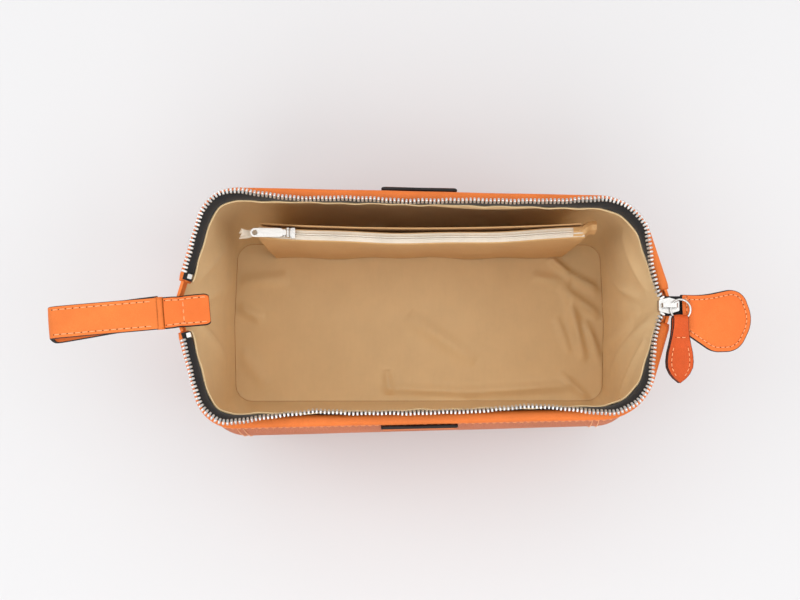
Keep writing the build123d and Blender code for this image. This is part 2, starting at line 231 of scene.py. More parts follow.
def closed_surface(
    name: str,
    points: np.ndarray,
    material: Material,
    edge: Material | None = None,
    painted: np.ndarray | None = None,
) -> Object:
    """A closed piece through rings of points, each joined to the next, with its faces outwards.

    Args:
        name: The object's name.
        points: Rings by columns by 3.
        material: The finish of its faces.
        edge: The finish of its painted edges.
        painted: Which faces are painted, rings less one by columns.

    Returns:
        The object.
    """
    faces = outward(points, grid_faces(*points.shape[:2], wrap=True))
    made = make_mesh(name, points, faces, material, laid_flat(points))
    if edge is not None:
        made.data.materials.append(edge)
        made.data.polygons.foreach_set("material_index", painted.astype(np.int32).ravel())
    return made


def closed_ends(rings: np.ndarray) -> np.ndarray:
    """The same rings with one more at each end, shrunk almost to its middle, so that the piece is closed."""
    first, last = rings[:1].mean(1, keepdims=True), rings[-1:].mean(1, keepdims=True)
    return np.concatenate([first + (rings[:1] - first) * POLE, rings, last + (rings[-1:] - last) * POLE])


def carried(line: np.ndarray, across: np.ndarray, up: np.ndarray, profile: np.ndarray) -> np.ndarray:
    """A profile carried along a line.

    Each point is the line's point, plus the profile's first number times the across vector, plus its second
    times the up vector.

    Args:
        line: N by 3 points.
        across: N by 3 unit vectors, or one.
        up: N by 3 unit vectors, or one.
        profile: P by 2, or N by P by 2, anticlockwise seen against the line's direction.

    Returns:
        N and two end rings by P by 3 points.
    """
    profile = np.broadcast_to(profile, (len(line),) + profile.shape[-2:])
    across = np.broadcast_to(across, line.shape)[:, None]
    up = np.broadcast_to(up, line.shape)[:, None]
    return closed_ends(line[:, None] + profile[..., :1] * across + profile[..., 1:] * up)


def rounded_profile(width: float, height: float, radius: float, steps: int = 5) -> np.ndarray:
    """A rounded rectangle round the origin, anticlockwise: a quarter circle at each corner.

    Args:
        width: Its width.
        height: Its height.
        radius: Its corners' radius.
        steps: How many points a corner has.

    Returns:
        Points by 2.
    """
    turn = np.linspace(0.0, math.pi / 2, steps)
    quarter = np.stack([np.cos(turn), np.sin(turn)], axis=-1) * radius
    inner = np.array([width / 2 - radius, height / 2 - radius])
    out = []
    for k, corner in enumerate(([1, 1], [-1, 1], [-1, -1], [1, -1])):
        c, s = round(math.cos(k * math.pi / 2)), round(math.sin(k * math.pi / 2))
        out.append(quarter @ np.array([[c, s], [-s, c]]) + inner * corner)
    return np.concatenate(out)


def resample(where: np.ndarray, run: np.ndarray, points: np.ndarray) -> np.ndarray:
    """A line's points at given lengths along it, straight between its own points.

    Args:
        where: The lengths, in an array of any shape.
        run: The length run at each of the line's points.
        points: The line's points, or other vectors that belong to them.

    Returns:
        A vector for each length.
    """
    return np.stack([np.interp(where, run, points[:, k]) for k in range(points.shape[1])], axis=-1)


def even(points: np.ndarray, spacing: float) -> np.ndarray:
    """The same line, with its points evenly spaced along its length.

    Args:
        points: The line.
        spacing: About how far apart its points come to be.

    Returns:
        The line.
    """
    run = lengths(points, 0)
    count = max(int(round(run[-1] / spacing)), 2) + 1
    return resample(np.linspace(0.0, run[-1], count), run, points)


def direction(points: np.ndarray) -> np.ndarray:
    """The unit direction of a line at each of its points."""
    along = np.gradient(points, axis=0)
    return along / np.linalg.norm(along, axis=-1, keepdims=True)


# Shader nodes


class Nodes:
    """A short way to place and join the nodes of one tree."""

    def __init__(self, tree: bpy.types.NodeTree) -> None:
        """Keeps the tree."""
        self.tree = tree

    def add(
        self, kind: str, inputs: dict[str | int, Value] | None = None, **settings: object
    ) -> bpy.types.Node:
        """Places a node, sets its properties, and sets or joins its inputs.

        Args:
            kind: The node's type.
            inputs: A value or a socket for its inputs, by name or number.
            settings: Its properties.

        Returns:
            The node.
        """
        node = self.tree.nodes.new(kind)
        for key, value in settings.items():
            setattr(node, key, value)
        for key, value in (inputs or {}).items():
            if isinstance(value, bpy.types.NodeSocket):
                self.tree.links.new(value, node.inputs[key])
            else:
                node.inputs[key].default_value = value
        return node

    def join(self, start: Socket, end: Socket) -> None:
        """Joins one socket to another."""
        self.tree.links.new(start, end)

    def math(self, operation: str, a: Value, b: Value = 0.0, clamp: bool = False) -> Socket:
        """One sum of two numbers."""
        return self.add("ShaderNodeMath", {0: a, 1: b}, operation=operation, use_clamp=clamp).outputs[0]

    def mix(self, share: Value, a: Value | tuple, b: Value | tuple) -> Socket:
        """Two colours mixed by a share."""
        return self.add("ShaderNodeMix", {0: share, 6: a, 7: b}, data_type="RGBA").outputs[2]

    def ramp(self, value: Value, low: float, high: float, start: float = 0.0, end: float = 1.0) -> Socket:
        """A number stretched from one range, low to high, to another, start to end, and held there."""
        return self.add("ShaderNodeMapRange", {0: value, 1: low, 2: high, 3: start, 4: end}).outputs[0]

    def noise(self, vector: Socket, scale: Value, detail: float = 3.0, rough: float = 0.5) -> Socket:
        """A cloudy pattern from 0 to 1."""
        inputs = {"Vector": vector, "Scale": scale, "Detail": detail, "Roughness": rough}
        return self.add("ShaderNodeTexNoise", inputs).outputs[0]


def new_group(
    name: str, inputs: dict[str, tuple[str, object]], outputs: list[str]
) -> tuple[Nodes, bpy.types.Node, bpy.types.Node]:
    """An empty shader group with named sockets.

    Args:
        name: The group's name.
        inputs: Each input's kind and default.
        outputs: The names of its outputs, which are all numbers.

    Returns:
        The helper of its tree, and its input and output nodes.
    """
    tree = bpy.data.node_groups.new(name, "ShaderNodeTree")
    for key, (kind, value) in inputs.items():
        made = tree.interface.new_socket(key, in_out="INPUT", socket_type=kind)
        if value is not None:
            made.default_value = value
    for key in outputs:
        tree.interface.new_socket(key, in_out="OUTPUT", socket_type="NodeSocketFloat")
    nodes = Nodes(tree)
    return nodes, nodes.add("NodeGroupInput"), nodes.add("NodeGroupOutput")


def grain_group() -> bpy.types.NodeTree:
    """Leather grain: small cells with soft walls over slow clouds.

    Returns:
        A group that puts out a height, a crease mask and a cloud mask.
    """
    jitter, cloud_scale, wall_width = 0.0006, 0.045, 0.22
    sockets = {"Vector": ("NodeSocketVector", None), "Cell Scale": ("NodeSocketFloat", 900.0)}
    n, start, end = new_group("Leather grain", sockets, ["Height", "Creases", "Clouds"])
    vector, scale = start.outputs["Vector"], start.outputs["Cell Scale"]
    drift = n.noise(vector, n.math("MULTIPLY", scale, 0.4), 2.0)
    shift = n.add("ShaderNodeVectorMath", {0: drift, "Scale": jitter}, operation="SCALE")
    moved = n.add("ShaderNodeVectorMath", {0: vector, 1: shift.outputs[0]}, operation="ADD")
    place = {"Vector": moved.outputs[0], "Scale": scale}
    cells = n.add("ShaderNodeTexVoronoi", place, feature="DISTANCE_TO_EDGE")
    walls = n.ramp(cells.outputs["Distance"], 0.0, wall_width)
    clouds = n.noise(vector, n.math("MULTIPLY", scale, cloud_scale), 4.0, 0.6)
    height = n.math("ADD", n.math("MULTIPLY", walls, 0.7), n.math("MULTIPLY", clouds, 0.3))
    n.join(height, end.inputs["Height"])
    n.join(n.math("SUBTRACT", 1.0, walls, clamp=True), end.inputs["Creases"])
    n.join(clouds, end.inputs["Clouds"])
    return n.tree


def weave_group() -> bpy.types.NodeTree:
    """A plain weave that follows the UV map: raised threads that pass over and under in turn.

    Returns:
        A group that puts out a height and a mask of slow unevenness.
    """
    slub_scale = (400.0, 60.0, 60.0)
    sockets = {"Vector": ("NodeSocketVector", None), "Threads": ("NodeSocketFloat", 2200.0)}
    n, start, end = new_group("Weave", sockets, ["Height", "Slubs"])
    split = n.add("ShaderNodeSeparateXYZ", {0: start.outputs["Vector"]})
    count = start.outputs["Threads"]
    turn = [n.math("MULTIPLY", n.math("MULTIPLY", split.outputs[k], count), math.pi) for k in (0, 1)]
    wave = [n.math("SINE", t) for t in turn]
    over = n.math("MULTIPLY", wave[0], wave[1])
    ridges = n.math("MAXIMUM", n.math("ABSOLUTE", wave[0]), n.math("ABSOLUTE", wave[1]))
    height = n.math("ADD", n.math("MULTIPLY", over, 0.35), n.math("MULTIPLY", ridges, 0.65))
    stretched = n.add("ShaderNodeMapping", {"Vector": start.outputs["Vector"], "Scale": slub_scale})
    n.join(height, end.inputs["Height"])
    n.join(n.noise(stretched.outputs[0], 1.0, 3.0, 0.6), end.inputs["Slubs"])
    return n.tree


def new_material(name: str) -> tuple[Material, Nodes, bpy.types.Node]:
    """A new material, the helper of its tree, and its shader.

    Args:
        name: The material's name.

    Returns:
        The material, its helper and its Principled shader.
    """
    made = bpy.data.materials.new(name)
    made.use_nodes = True
    return made, Nodes(made.node_tree), made.node_tree.nodes["Principled BSDF"]


def tinted(colour: Triple, share: float = 1.0) -> tuple[float, float, float, float]:
    """A colour times a share, fully opaque."""
    return tuple(c * share for c in colour) + (1.0,)


@dataclass(frozen=True)
class Leather:
    """A leather: its colour, how far it darkens in clouds and creases, and how coarse its grain is."""

    name: str
    colour: Triple
    dark: float = 0.72
    cell_scale: float = 900.0
    roughness: float = 0.46
    bump: float = 0.35
    relief: float = 0.0002

    def material(self, grain: bpy.types.NodeTree) -> Material:
        """Builds the material round the shared grain group.

        Args:
            grain: The group.

        Returns:
            The material.
        """
        made, n, shader = new_material(self.name)
        place = n.add("ShaderNodeTexCoord").outputs["Object"]
        group = n.add("ShaderNodeGroup", node_tree=grain)
        n.join(place, group.inputs["Vector"])
        group.inputs["Cell Scale"].default_value = self.cell_scale
        deep = tinted(self.colour, self.dark)
        pale = tuple(min(c * 1.06 + 0.004, 1.0) for c in self.colour) + (1.0,)
        cloudy = n.mix(n.ramp(group.outputs["Clouds"], 0.3, 0.72), deep, pale)
        creased = n.mix(n.math("MULTIPLY", group.outputs["Creases"], 0.5), cloudy, deep)
        n.join(creased, shader.inputs["Base Color"])
        rough = n.ramp(group.outputs["Height"], 0.2, 1.0, self.roughness + 0.14, self.roughness - 0.04)
        n.join(rough, shader.inputs["Roughness"])
        height = {"Height": group.outputs["Height"], "Distance": self.relief, "Strength": self.bump}
        n.join(n.add("ShaderNodeBump", height).outputs[0], shader.inputs["Normal"])
        shader.inputs["Specular IOR Level"].default_value = 0.28
        return made


@dataclass(frozen=True)
class Cloth:
    """A woven cloth: its colour, its threads to the metre, its shine and how uneven it looks."""

    name: str
    colour: Triple
    threads: float = 2200.0
    uneven: float = 0.82
    roughness: float = 0.62
    sheen: float = 0.3
    bump: float = 0.4
    relief: float = 0.00012

    def material(self, weave: bpy.types.NodeTree) -> Material:
        """Builds the material round the shared weave group.

        Args:
            weave: The group.

        Returns:
            The material.
        """
        made, n, shader = new_material(self.name)
        coord = n.add("ShaderNodeTexCoord")
        group = n.add("ShaderNodeGroup", node_tree=weave)
        n.join(coord.outputs["UV"], group.inputs["Vector"])
        group.inputs["Threads"].default_value = self.threads
        deep = tinted(self.colour, self.uneven)
        clouds = n.noise(coord.outputs["Object"], 45.0, 4.0, 0.6)
        slubs = n.math("MULTIPLY", group.outputs["Slubs"], 0.2)
        share = n.math("ADD", slubs, n.math("MULTIPLY", clouds, 0.8))
        cloudy = n.mix(n.ramp(share, 0.35, 0.62), deep, tinted(self.colour))
        threads = n.mix(n.ramp(group.outputs["Height"], 0.3, 1.0, 0.3, 0.0), cloudy, deep)
        n.join(threads, shader.inputs["Base Color"])
        rough = n.ramp(group.outputs["Height"], 0.0, 1.0, self.roughness + 0.15, self.roughness - 0.05)
        n.join(rough, shader.inputs["Roughness"])
        height = {"Height": group.outputs["Height"], "Distance": self.relief, "Strength": self.bump}
        n.join(n.add("ShaderNodeBump", height).outputs[0], shader.inputs["Normal"])
        shader.inputs["Sheen Weight"].default_value = self.sheen
        shader.inputs["Specular IOR Level"].default_value = 0.3
        return made


@dataclass(frozen=True)
class Metal:
    """A plated metal: its colour, its roughness, and how strongly fine scratches and dirt vary both."""

    name: str
    colour: Triple
    roughness: float = 0.22
    worn: float = 0.7
    metallic: float = 1.0

    def material(self) -> Material:
        """Builds the material: scratches drawn out along one direction over fine speckle.

        Returns:
            The material.
        """
        made, n, shader = new_material(self.name)
        place = n.add("ShaderNodeTexCoord").outputs["Object"]
        drawn = n.add("ShaderNodeMapping", {"Vector": place, "Scale": (300.0, 3000.0, 900.0)})
        scratches = n.noise(drawn.outputs[0], 1.0, 4.0, 0.7)
        speckle = n.ramp(n.noise(place, 1500.0, 3.0), 0.3, 0.6)
        colour = n.mix(speckle, tinted(self.colour, self.worn), tinted(self.colour))
        n.join(colour, shader.inputs["Base Color"])
        rough = n.ramp(scratches, 0.2, 0.8, self.roughness * 0.7, self.roughness * 1.6)
        n.join(rough, shader.inputs["Roughness"])
        shader.inputs["Metallic"].default_value = self.metallic
        relief = n.add("ShaderNodeBump", {"Height": scratches, "Distance": 0.00004, "Strength": 0.25})
        n.join(relief.outputs[0], shader.inputs["Normal"])
        return made


class Finishes:
    """Every finish of the bag, built once."""

    def __init__(self) -> None:
        """Builds the shared groups and each finish."""
        grain, weave = grain_group(), weave_group()
        self.saddle = Leather("saddle leather", (0.86, 0.205, 0.035), 0.8, 900.0, 0.5).material(grain)
        wall = Leather("wall leather", (0.68, 0.19, 0.075), 0.84, 560.0, 0.5, 1.0, 0.00045)
        self.wall = wall.material(grain)
        self.pull = Leather("pull leather", (0.66, 0.085, 0.006), 0.72, 1100.0, 0.42).material(grain)
        self.tab = Leather("tab leather", (0.84, 0.175, 0.026), 0.82, 1000.0, 0.48).material(grain)
        self.painted_edge = Leather("painted edge", (0.014, 0.013, 0.013), 0.6, 1500.0, 0.4).material(grain)
        self.orange_thread = Cloth("orange thread", (0.95, 0.42, 0.18), 5000.0, 0.94, 0.5).material(weave)
        self.lining = Cloth("lining cloth", (0.80, 0.585, 0.325), 1900.0, 0.93, 0.6, 0.04).material(weave)
        self.pocket = Cloth("pocket cloth", (0.70, 0.44, 0.20), 1900.0, 0.93, 0.6, 0.04).material(weave)
        self.black_tape = Cloth("black tape", (0.02, 0.02, 0.022), 2600.0, 0.6, 0.7, 0.15).material(weave)
        self.cream_tape = Cloth("cream tape", (0.86, 0.78, 0.66), 2400.0, 0.85, 0.65).material(weave)
        self.coil = Cloth("cream coil", (0.88, 0.81, 0.7), 900.0, 0.8, 0.4).material(weave)
        self.teeth = Metal("tooth metal", (0.86, 0.86, 0.85), 0.34, 0.85, 0.8).material()
        self.plated = Metal("plated metal", (0.66, 0.65, 0.63), 0.3, 0.85).material()
        self.steel = Metal("spring steel", (0.4, 0.4, 0.42), 0.4).material()
        # Painted shade: a dark brown for the flat discs laid where the thread's recesses in the leather would
        # be.
        self.stitch_hole = Cloth("stitch hole shade", (0.16, 0.05, 0.02), 3000.0, 0.6, 0.8).material(weave)
        self.board = Cloth("board", (0.3, 0.24, 0.17), 1200.0, 0.8, 0.8).material(weave)


# The mouth's line and the body's outlines


def rounded_line(corners: np.ndarray, radii: list[float], arc_points: int = 24) -> np.ndarray:
    """A line through corners, each rounded to its radius by an arc that touches both its sides.

    Args:
        corners: N by 2 points, whose first and last aren't rounded.
        radii: A radius for each corner between them.
        arc_points: How many points an arc has.

    Returns:
        M by 2 points.
    """
    out = [corners[:1]]
    for corner, before, after, radius in zip(corners[1:-1], corners[:-2], corners[2:], radii):
        a, b = before - corner, after - corner
        a, b = a / np.linalg.norm(a), b / np.linalg.norm(b)
        half = math.acos(float(np.clip(a @ b, -1, 1))) / 2
        middle = corner + (a + b) / np.linalg.norm(a + b) * radius / math.sin(half)
        ends = [corner + a * radius / math.tan(half) - middle, corner + b * radius / math.tan(half) - middle]
        span = math.pi - 2 * half
        t = np.linspace(0.0, 1.0, arc_points)[:, None]
        out.append(middle + (np.sin((1 - t) * span) * ends[0] + np.sin(t * span) * ends[1]) / math.sin(span))
    out.append(corners[-1:])
    return np.concatenate(out)


@dataclass
class MouthLine:
    """The line down the middle of the casings, as the frame holds it open."""

    root_half_width: float = 0.147
    side_half_length: float = 0.1273
    left_reach: float = 0.069
    right_reach: float = 0.0633
    left_radius: float = 0.0215
    right_radius: float = 0.0305
    left_end: float = 0.016
    right_end: float = 0.011

    def line(
        self, half: Half, spacing: float = 0.001, left: float | None = None, right: float | None = None
    ) -> np.ndarray:
        """One half's U, from its left end to its right end.

        Args:
            half: Which half.
            spacing: The distance between points.
            left: Where it starts, off the hinge line.
            right: Where it ends, off the hinge line.

        Returns:
            N by 2 points, evenly spaced.
        """
        left = self.left_end if left is None else left
        right = self.right_end if right is None else right
        spread = self.root_half_width - self.side_half_length
        corners = np.array(
            [
                [-self.root_half_width + left * spread / self.left_reach, left],
                [-self.side_half_length, self.left_reach],
                [self.side_half_length, self.right_reach],
                [self.root_half_width - right * spread / self.right_reach, right],
            ]
        )
        line = even(rounded_line(corners, [self.left_radius, self.right_radius]), spacing)
        return line * [1.0, half.sign]

    def inward(self, line: np.ndarray, half: Half) -> np.ndarray:
        """The unit vectors that point from a U into the bag."""
        along = direction(line)
        return np.stack([along[:, 1], -along[:, 0]], axis=-1) * half.sign


@dataclass
class BodyForm:
    """The body's form: its outline at the base, at the belly and under the casings."""

    mouth: MouthLine
    base: tuple[float, ...] = (0.131, 0.002, 0.0555, 0.0555, 0.012, 0.012)
    belly: tuple[float, ...] = (0.129, 0.008, 0.077, 0.070, 0.020, 0.020)
    heights: tuple[float, float, float] = (0.0016, 0.084, 0.1321)

    def outline(self, level: tuple[float, ...], outset: float) -> np.ndarray:
        """One level's closed outline, with the same points at every level.

        The front half has five stretches: the short side by the left fold, the left arc, the long wall, the
        right arc and the other short side. Each is resampled to its own number of points, and the long wall's
        runs one point on into the right arc.

        Args:
            level: Half the length, how far the folds stand out, the reach at the left and at the right, and
                the radii of the left and the right corner.
            outset: How far outside the leather's inner face it is.

        Returns:
            N by 2 points, anticlockwise from the left fold.
        """
        half_length, fold, left, right, left_radius, right_radius = level
        corners = np.array(
            [[-half_length - fold, 0], [-half_length, -left], [half_length, -right], [half_length + fold, 0]]
        )
        arc = 17
        front = rounded_line(corners, [left_radius, right_radius], arc)
        runs = []
        for first, last, count in (
            (0, 1, 18), (1, arc, 20), (arc, arc + 2, 110), (arc + 1, 2 * arc, 20), (2 * arc, 2 * arc + 1, 18),
        ):
            part = front[first : last + 1]
            run = lengths(part, 0)
            runs.append(resample(np.linspace(0, run[-1], count, endpoint=False), run, part))
        front = np.concatenate(runs + [corners[-1:]])
        loop = np.concatenate([front, front[-2:0:-1] * [1.0, -1.0]])
        along = np.roll(loop, -1, 0) - np.roll(loop, 1, 0)
        out = np.stack([along[:, 1], -along[:, 0]], -1) / np.linalg.norm(along, axis=-1, keepdims=True)
        return loop + out * outset

    def surface(self, outset: float, z: np.ndarray) -> np.ndarray:
        """The wall's points at heights z: each outline point runs through the three levels on one parabola.

        Args:
            outset: The distance outside the leather's inner face.
            z: The heights of the rows.

        Returns:
            Rows by columns by 3 points.
        """
        m = self.mouth
        spread = m.root_half_width - m.side_half_length
        top = (m.side_half_length, spread, m.left_reach, m.right_reach, m.left_radius, m.right_radius)
        levels = [self.outline(level, outset) for level in (self.base, self.belly, top)]
        h = self.heights
        flat = np.zeros((len(z), len(levels[0]), 2))
        for k in range(3):
            a, b = [h[j] for j in range(3) if j != k]
            weight = (z - a) * (z - b) / ((h[k] - a) * (h[k] - b))
            flat += weight[:, None, None] * levels[k]
        height = np.broadcast_to(z[:, None, None], flat.shape[:2] + (1,))
        return np.concatenate([flat, height], -1)


def crease(points: np.ndarray, start: Triple, end: Triple, width: float) -> np.ndarray:
    """How near each point is to a crease: a bell across it that fades towards both its ends.

    Args:
        points: The points.
        start: One end of the crease.
        end: Its other end.
        width: The bell's width.

    Returns:
        A share from 0 to 1 for each point.
    """
    a, b = np.array(start), np.array(end)
    along = b - a
    t = ((points - a) @ along) / (along @ along)
    nearest = a + np.clip(t, 0, 1)[..., None] * along
    gap = np.linalg.norm(points - nearest, axis=-1)
    return np.exp(-((gap / width) ** 2)) * np.sqrt(np.clip(np.sin(np.pi * np.clip(t, 0, 1)), 0, 1))


def grid_normals(points: np.ndarray, wrap: bool = True) -> np.ndarray:
    """The unit normals of a grid of rows by columns of points: the cross of its two directions.

    Args:
        points: The grid.
        wrap: Whether the last column is joined to the first.

    Returns:
        A unit vector for each point.
    """
    if wrap:
        across = np.roll(points, -1, 1) - np.roll(points, 1, 1)
    else:
        across = np.gradient(points, axis=1)
    down = np.gradient(points, axis=0)
    normal = np.cross(across, down)
    return normal / np.maximum(np.linalg.norm(normal, axis=-1, keepdims=True), 1e-12)


def bend_lower(piece: Object) -> None:
    """Bakes a piece's transform into its mesh.

    Args:
        piece: The piece.
    """
    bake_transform(piece)


def bend_upper(piece: Object) -> None:
    """Bakes a piece's transform into its mesh.

    Args:
        piece: The piece.
    """
    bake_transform(piece)


FLOOR_CREASES = (
    ((-0.008, 0.005, 0), (0.040, -0.028, 0), 0.007, 0.0026),
    ((-0.023, -0.034, 0), (-0.021, -0.052, 0), 0.0030, 0.0030),
    ((-0.028, -0.047, 0), (0.045, -0.050, 0), 0.0040, 0.0028),
    ((0.030, -0.050, 0), (0.110, -0.045, 0), 0.0045, 0.0030),
    ((0.081, 0.033, 0), (0.109, 0.027, 0), 0.0050, 0.0030),
    ((0.094, 0.047, 0), (0.110, 0.032, 0), 0.0036, 0.0045),
    ((0.108, 0.034, 0), (0.130, 0.022, 0), 0.0034, 0.0048),
    ((0.101, 0.025, 0), (0.130, 0.004, 0), 0.0040, 0.0046),
    ((0.107, 0.020, 0), (0.118, -0.028, 0), 0.0044, 0.0044),
    ((0.098, 0.004, 0), (0.108, -0.022, 0), 0.0032, 0.0022),
    ((0.118, 0.002, 0), (0.131, -0.030, 0), 0.0036, 0.0036),
    ((0.100, -0.036, 0), (0.122, -0.056, 0), 0.0036, 0.0028),
    ((-0.130, 0.028, 0), (-0.094, 0.032, 0), 0.0055, 0.0030),
    ((-0.130, 0.012, 0), (-0.112, 0.002, 0), 0.0040, 0.0032),
    ((-0.128, -0.020, 0), (-0.108, -0.046, 0), 0.0060, 0.0016),
)
"""The floor lining's creases, read off the photograph: two ends, a width and a height, in metres."""
RIGHT_FOLDS = (
    ((0.134, 0.0, 0.13), (0.135, 0.034, 0.03)),
    ((0.14, -0.004, 0.13), (0.134, -0.036, 0.04)),
    ((0.138, 0.012, 0.12), (0.132, 0.052, 0.09)),
    ((0.138, -0.02, 0.118), (0.131, -0.055, 0.075)),
    ((0.139, 0.0, 0.1), (0.134, 0.012, 0.01)),
    ((0.138, -0.008, 0.09), (0.133, -0.02, 0.01)),
)
"""The folds of the right lining: both ends of each, in metres."""
LEFT_FOLDS = (
    ((-0.14, 0.0, 0.13), (-0.134, 0.03, 0.03)),
    ((-0.139, -0.004, 0.128), (-0.134, -0.03, 0.05)),
    ((-0.138, 0.02, 0.12), (-0.132, 0.05, 0.06)),
)
"""The folds of the left lining: both ends of each, in metres."""
WALL_FOLDS = (
    ((-0.08, -0.072, 0.10), (-0.02, -0.074, 0.06), 0.0012),
    ((0.02, -0.070, 0.09), (0.09, -0.066, 0.115), 0.0012),
    ((0.06, 0.068, 0.10), (0.11, 0.06, 0.12), 0.001),
)
"""The creases of the long linings: both ends and the height of each, in metres."""


@dataclass
class Body:
    """The leather walls, the base and the lining."""

    form: BodyForm
    finishes: Finishes

    def shell(
        self, name: str, outset: float, finish: Material, low: float, inside: bool, nodes: list[str]
    ) -> list[Object]:
        """One skin of the body: a lower part down to the base, and an upper part for each frame.

        Args:
            name: What the pieces' names begin with.
            outset: The distance outside the leather's inner face.
            finish: The material.
            low: The lowest height.
            inside: Whether it faces the inside of the bag.
            nodes: The solids that it stands for.

        Returns:
            The three pieces.
        """
        rows, fade_low, fade_top = 64, 0.012, 0.006
        seam_row = int(np.argmin(np.abs(np.linspace(low, SKIN_TOP, rows) - SEAM)))
        below = np.linspace(low, SEAM, seam_row + 1)
        z = np.concatenate([below, np.linspace(SEAM, SKIN_TOP, rows - seam_row)[1:]])
        points = self.form.surface(outset, z)
        relief = self.inner_relief(points) if inside else self.outer_relief(points)
        fade = smooth((z - low) / fade_low) * smooth((SKIN_TOP - z) / fade_top)
        points = points + grid_normals(points) * (relief * fade[:, None])[..., None]
        normals = grid_normals(points) * (-1 if inside else 1)
        lower = points[: seam_row + 1]
        piece = grid_surface(f"{name}_lower", lower, finish, wrap=True, flip=inside)
        made = [self.finish_piece(piece, normals[: seam_row + 1], nodes)]
        bend_lower(piece)
        if inside:
            self.declare(lower)
        half = points.shape[1] // 2
        for side in Half:
            first = 0 if side is Half.FRONT else half
            keep = np.arange(first, first + half + 1) % points.shape[1]
            upper = points[seam_row:][:, keep]
            piece = grid_surface(f"{side.word}_{name}_upper", upper, finish, flip=inside)
            made.append(self.finish_piece(piece, normals[seam_row:][:, keep], nodes))
            bend_upper(piece)
            if inside:
                self.declare(upper)
        return made

    def declare(self, points: np.ndarray) -> None:
        """Works out a piece's flat size, its mean lengths both ways, and keeps nothing of it."""
        mean_lengths(points)

    def finish_piece(
        self, piece: Object, normals: np.ndarray, nodes: list[str]
    ) -> Object:
        """Shares the normals across the cuts between pieces, and hides the solids that the piece stands for.

        Args:
            piece: The piece.
            normals: A normal for each of its points.
            nodes: The solids.

        Returns:
            The same piece.
        """
        piece.data.normals_split_custom_set_from_vertices(normals.reshape(-1, 3).tolist())
        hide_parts(*nodes)
        return piece

    def outer_relief(self, p: np.ndarray) -> np.ndarray:
        """The leather's relief: slow swells, two sines of place multiplied, and a fold down each gusset.

        Args:
            p: The points.

        Returns:
            How far out each point stands, in metres.
        """
        swell = 0.0004 * np.sin(p[..., 0] * 55 + p[..., 2] * 30) * np.sin(p[..., 2] * 60 + 1.0)
        gusset = smooth((np.abs(p[..., 0]) - 0.118) / 0.012)
        fold = -0.0006 * np.exp(-((p[..., 1] / 0.006) ** 2)) * smooth((p[..., 2] - 0.02) / 0.04)
        return swell + gusset * fold

    def inner_relief(self, p: np.ndarray) -> np.ndarray:
        """The lining's relief: slow swells, a long sag under the casings, and folds at both ends.

        Args:
            p: The points.

        Returns:
            How far out each point stands, in metres.
        """
        x, y, z = p[..., 0], p[..., 1], p[..., 2]
        sag_height, sag_width, end_from = 0.116, 0.012, 0.112
        out = 0.0005 * np.sin(x * 70 + z * 40) * np.sin(z * 75 + 1.3) - 0.0009
        long_wall = smooth((0.118 - np.abs(x)) / 0.02) * smooth((np.abs(y) - 0.05) / 0.01)
        out = out - 0.0036 * long_wall * bump(z, sag_height, sag_width) * (1 + 0.25 * np.sin(x * 48))
        right, left = smooth((x - end_from) / 0.012), smooth((-x - end_from) / 0.012)
        for k, (start, end) in enumerate(RIGHT_FOLDS):
            out = out - right * (0.0040 - 0.0003 * k) * crease(p, start, end, 0.0038 + 0.0009 * (k % 3))
        for k, (start, end) in enumerate(LEFT_FOLDS):
            out = out - left * (0.0034 - 0.0004 * k) * crease(p, start, end, 0.0050)
        for start, end, height in WALL_FOLDS:
            out = out - height * crease(p, start, end, 0.004)
        return out

    def build(self) -> list[Object]:
        """Builds both skins, the floor lining and the seams. The base and its board keep their solids.

        Returns:
            The pieces.
        """
        walls = ["front_panel", "back_panel", "left_gusset", "right_gusset"]
        linings = ["front_lining", "back_lining", "left_lining", "right_lining"]
        made = self.shell("wall", LEATHER, self.finishes.wall, WALL_FOOT, False, walls)
        made += self.shell("lining", -0.0006, self.finishes.lining, LINING_FLOOR, True, linings)
        made.append(self.floor())
        dress_node("base_panel", self.finishes.wall)
        dress_node("base_board", self.finishes.board)
        return made + self.seams()

    def seams(self) -> list[Object]:
        """The upright seams beside each gusset: two rows of stitches each.

        Returns:
            Sixteen rows of stitches: at each corner two below the seam and two above it.
        """
        made = []
        sew = Stitches(self.finishes, 0.0026, 0.0012, 0.0003)
        level = self.form.surface(SEAM_OUTSET, np.array([SEAM]))[0]
        middle = len(level) // 2
        ends, rows = ((-1, "left"), (1, "right")), (0.1075, 0.1115)
        for word, low, high in (("lower", 0.006, SEAM), ("upper", SEAM + 0.0004, 0.1290)):
            wall = self.form.surface(SEAM_OUTSET, np.linspace(low, high, 40))
            normals = grid_normals(wall)
            for side, (end, end_word), (row, offset) in product(Half, ends, enumerate(rows)):
                first, last = (0, middle) if side is Half.FRONT else (middle, None)
                pick = first + int(np.argmin(np.abs(level[first:last, 0] - end * offset)))
                name = f"{side.word}_{end_word}_seam_{word}_{row}"
                piece = sew.build(name, wall[:, pick], normals[:, pick])
                place = mesh_points(piece)
                if word == "lower":
                    bend_lower(piece)
                else:
                    bend_upper(piece)
                made.append(piece)
        return made

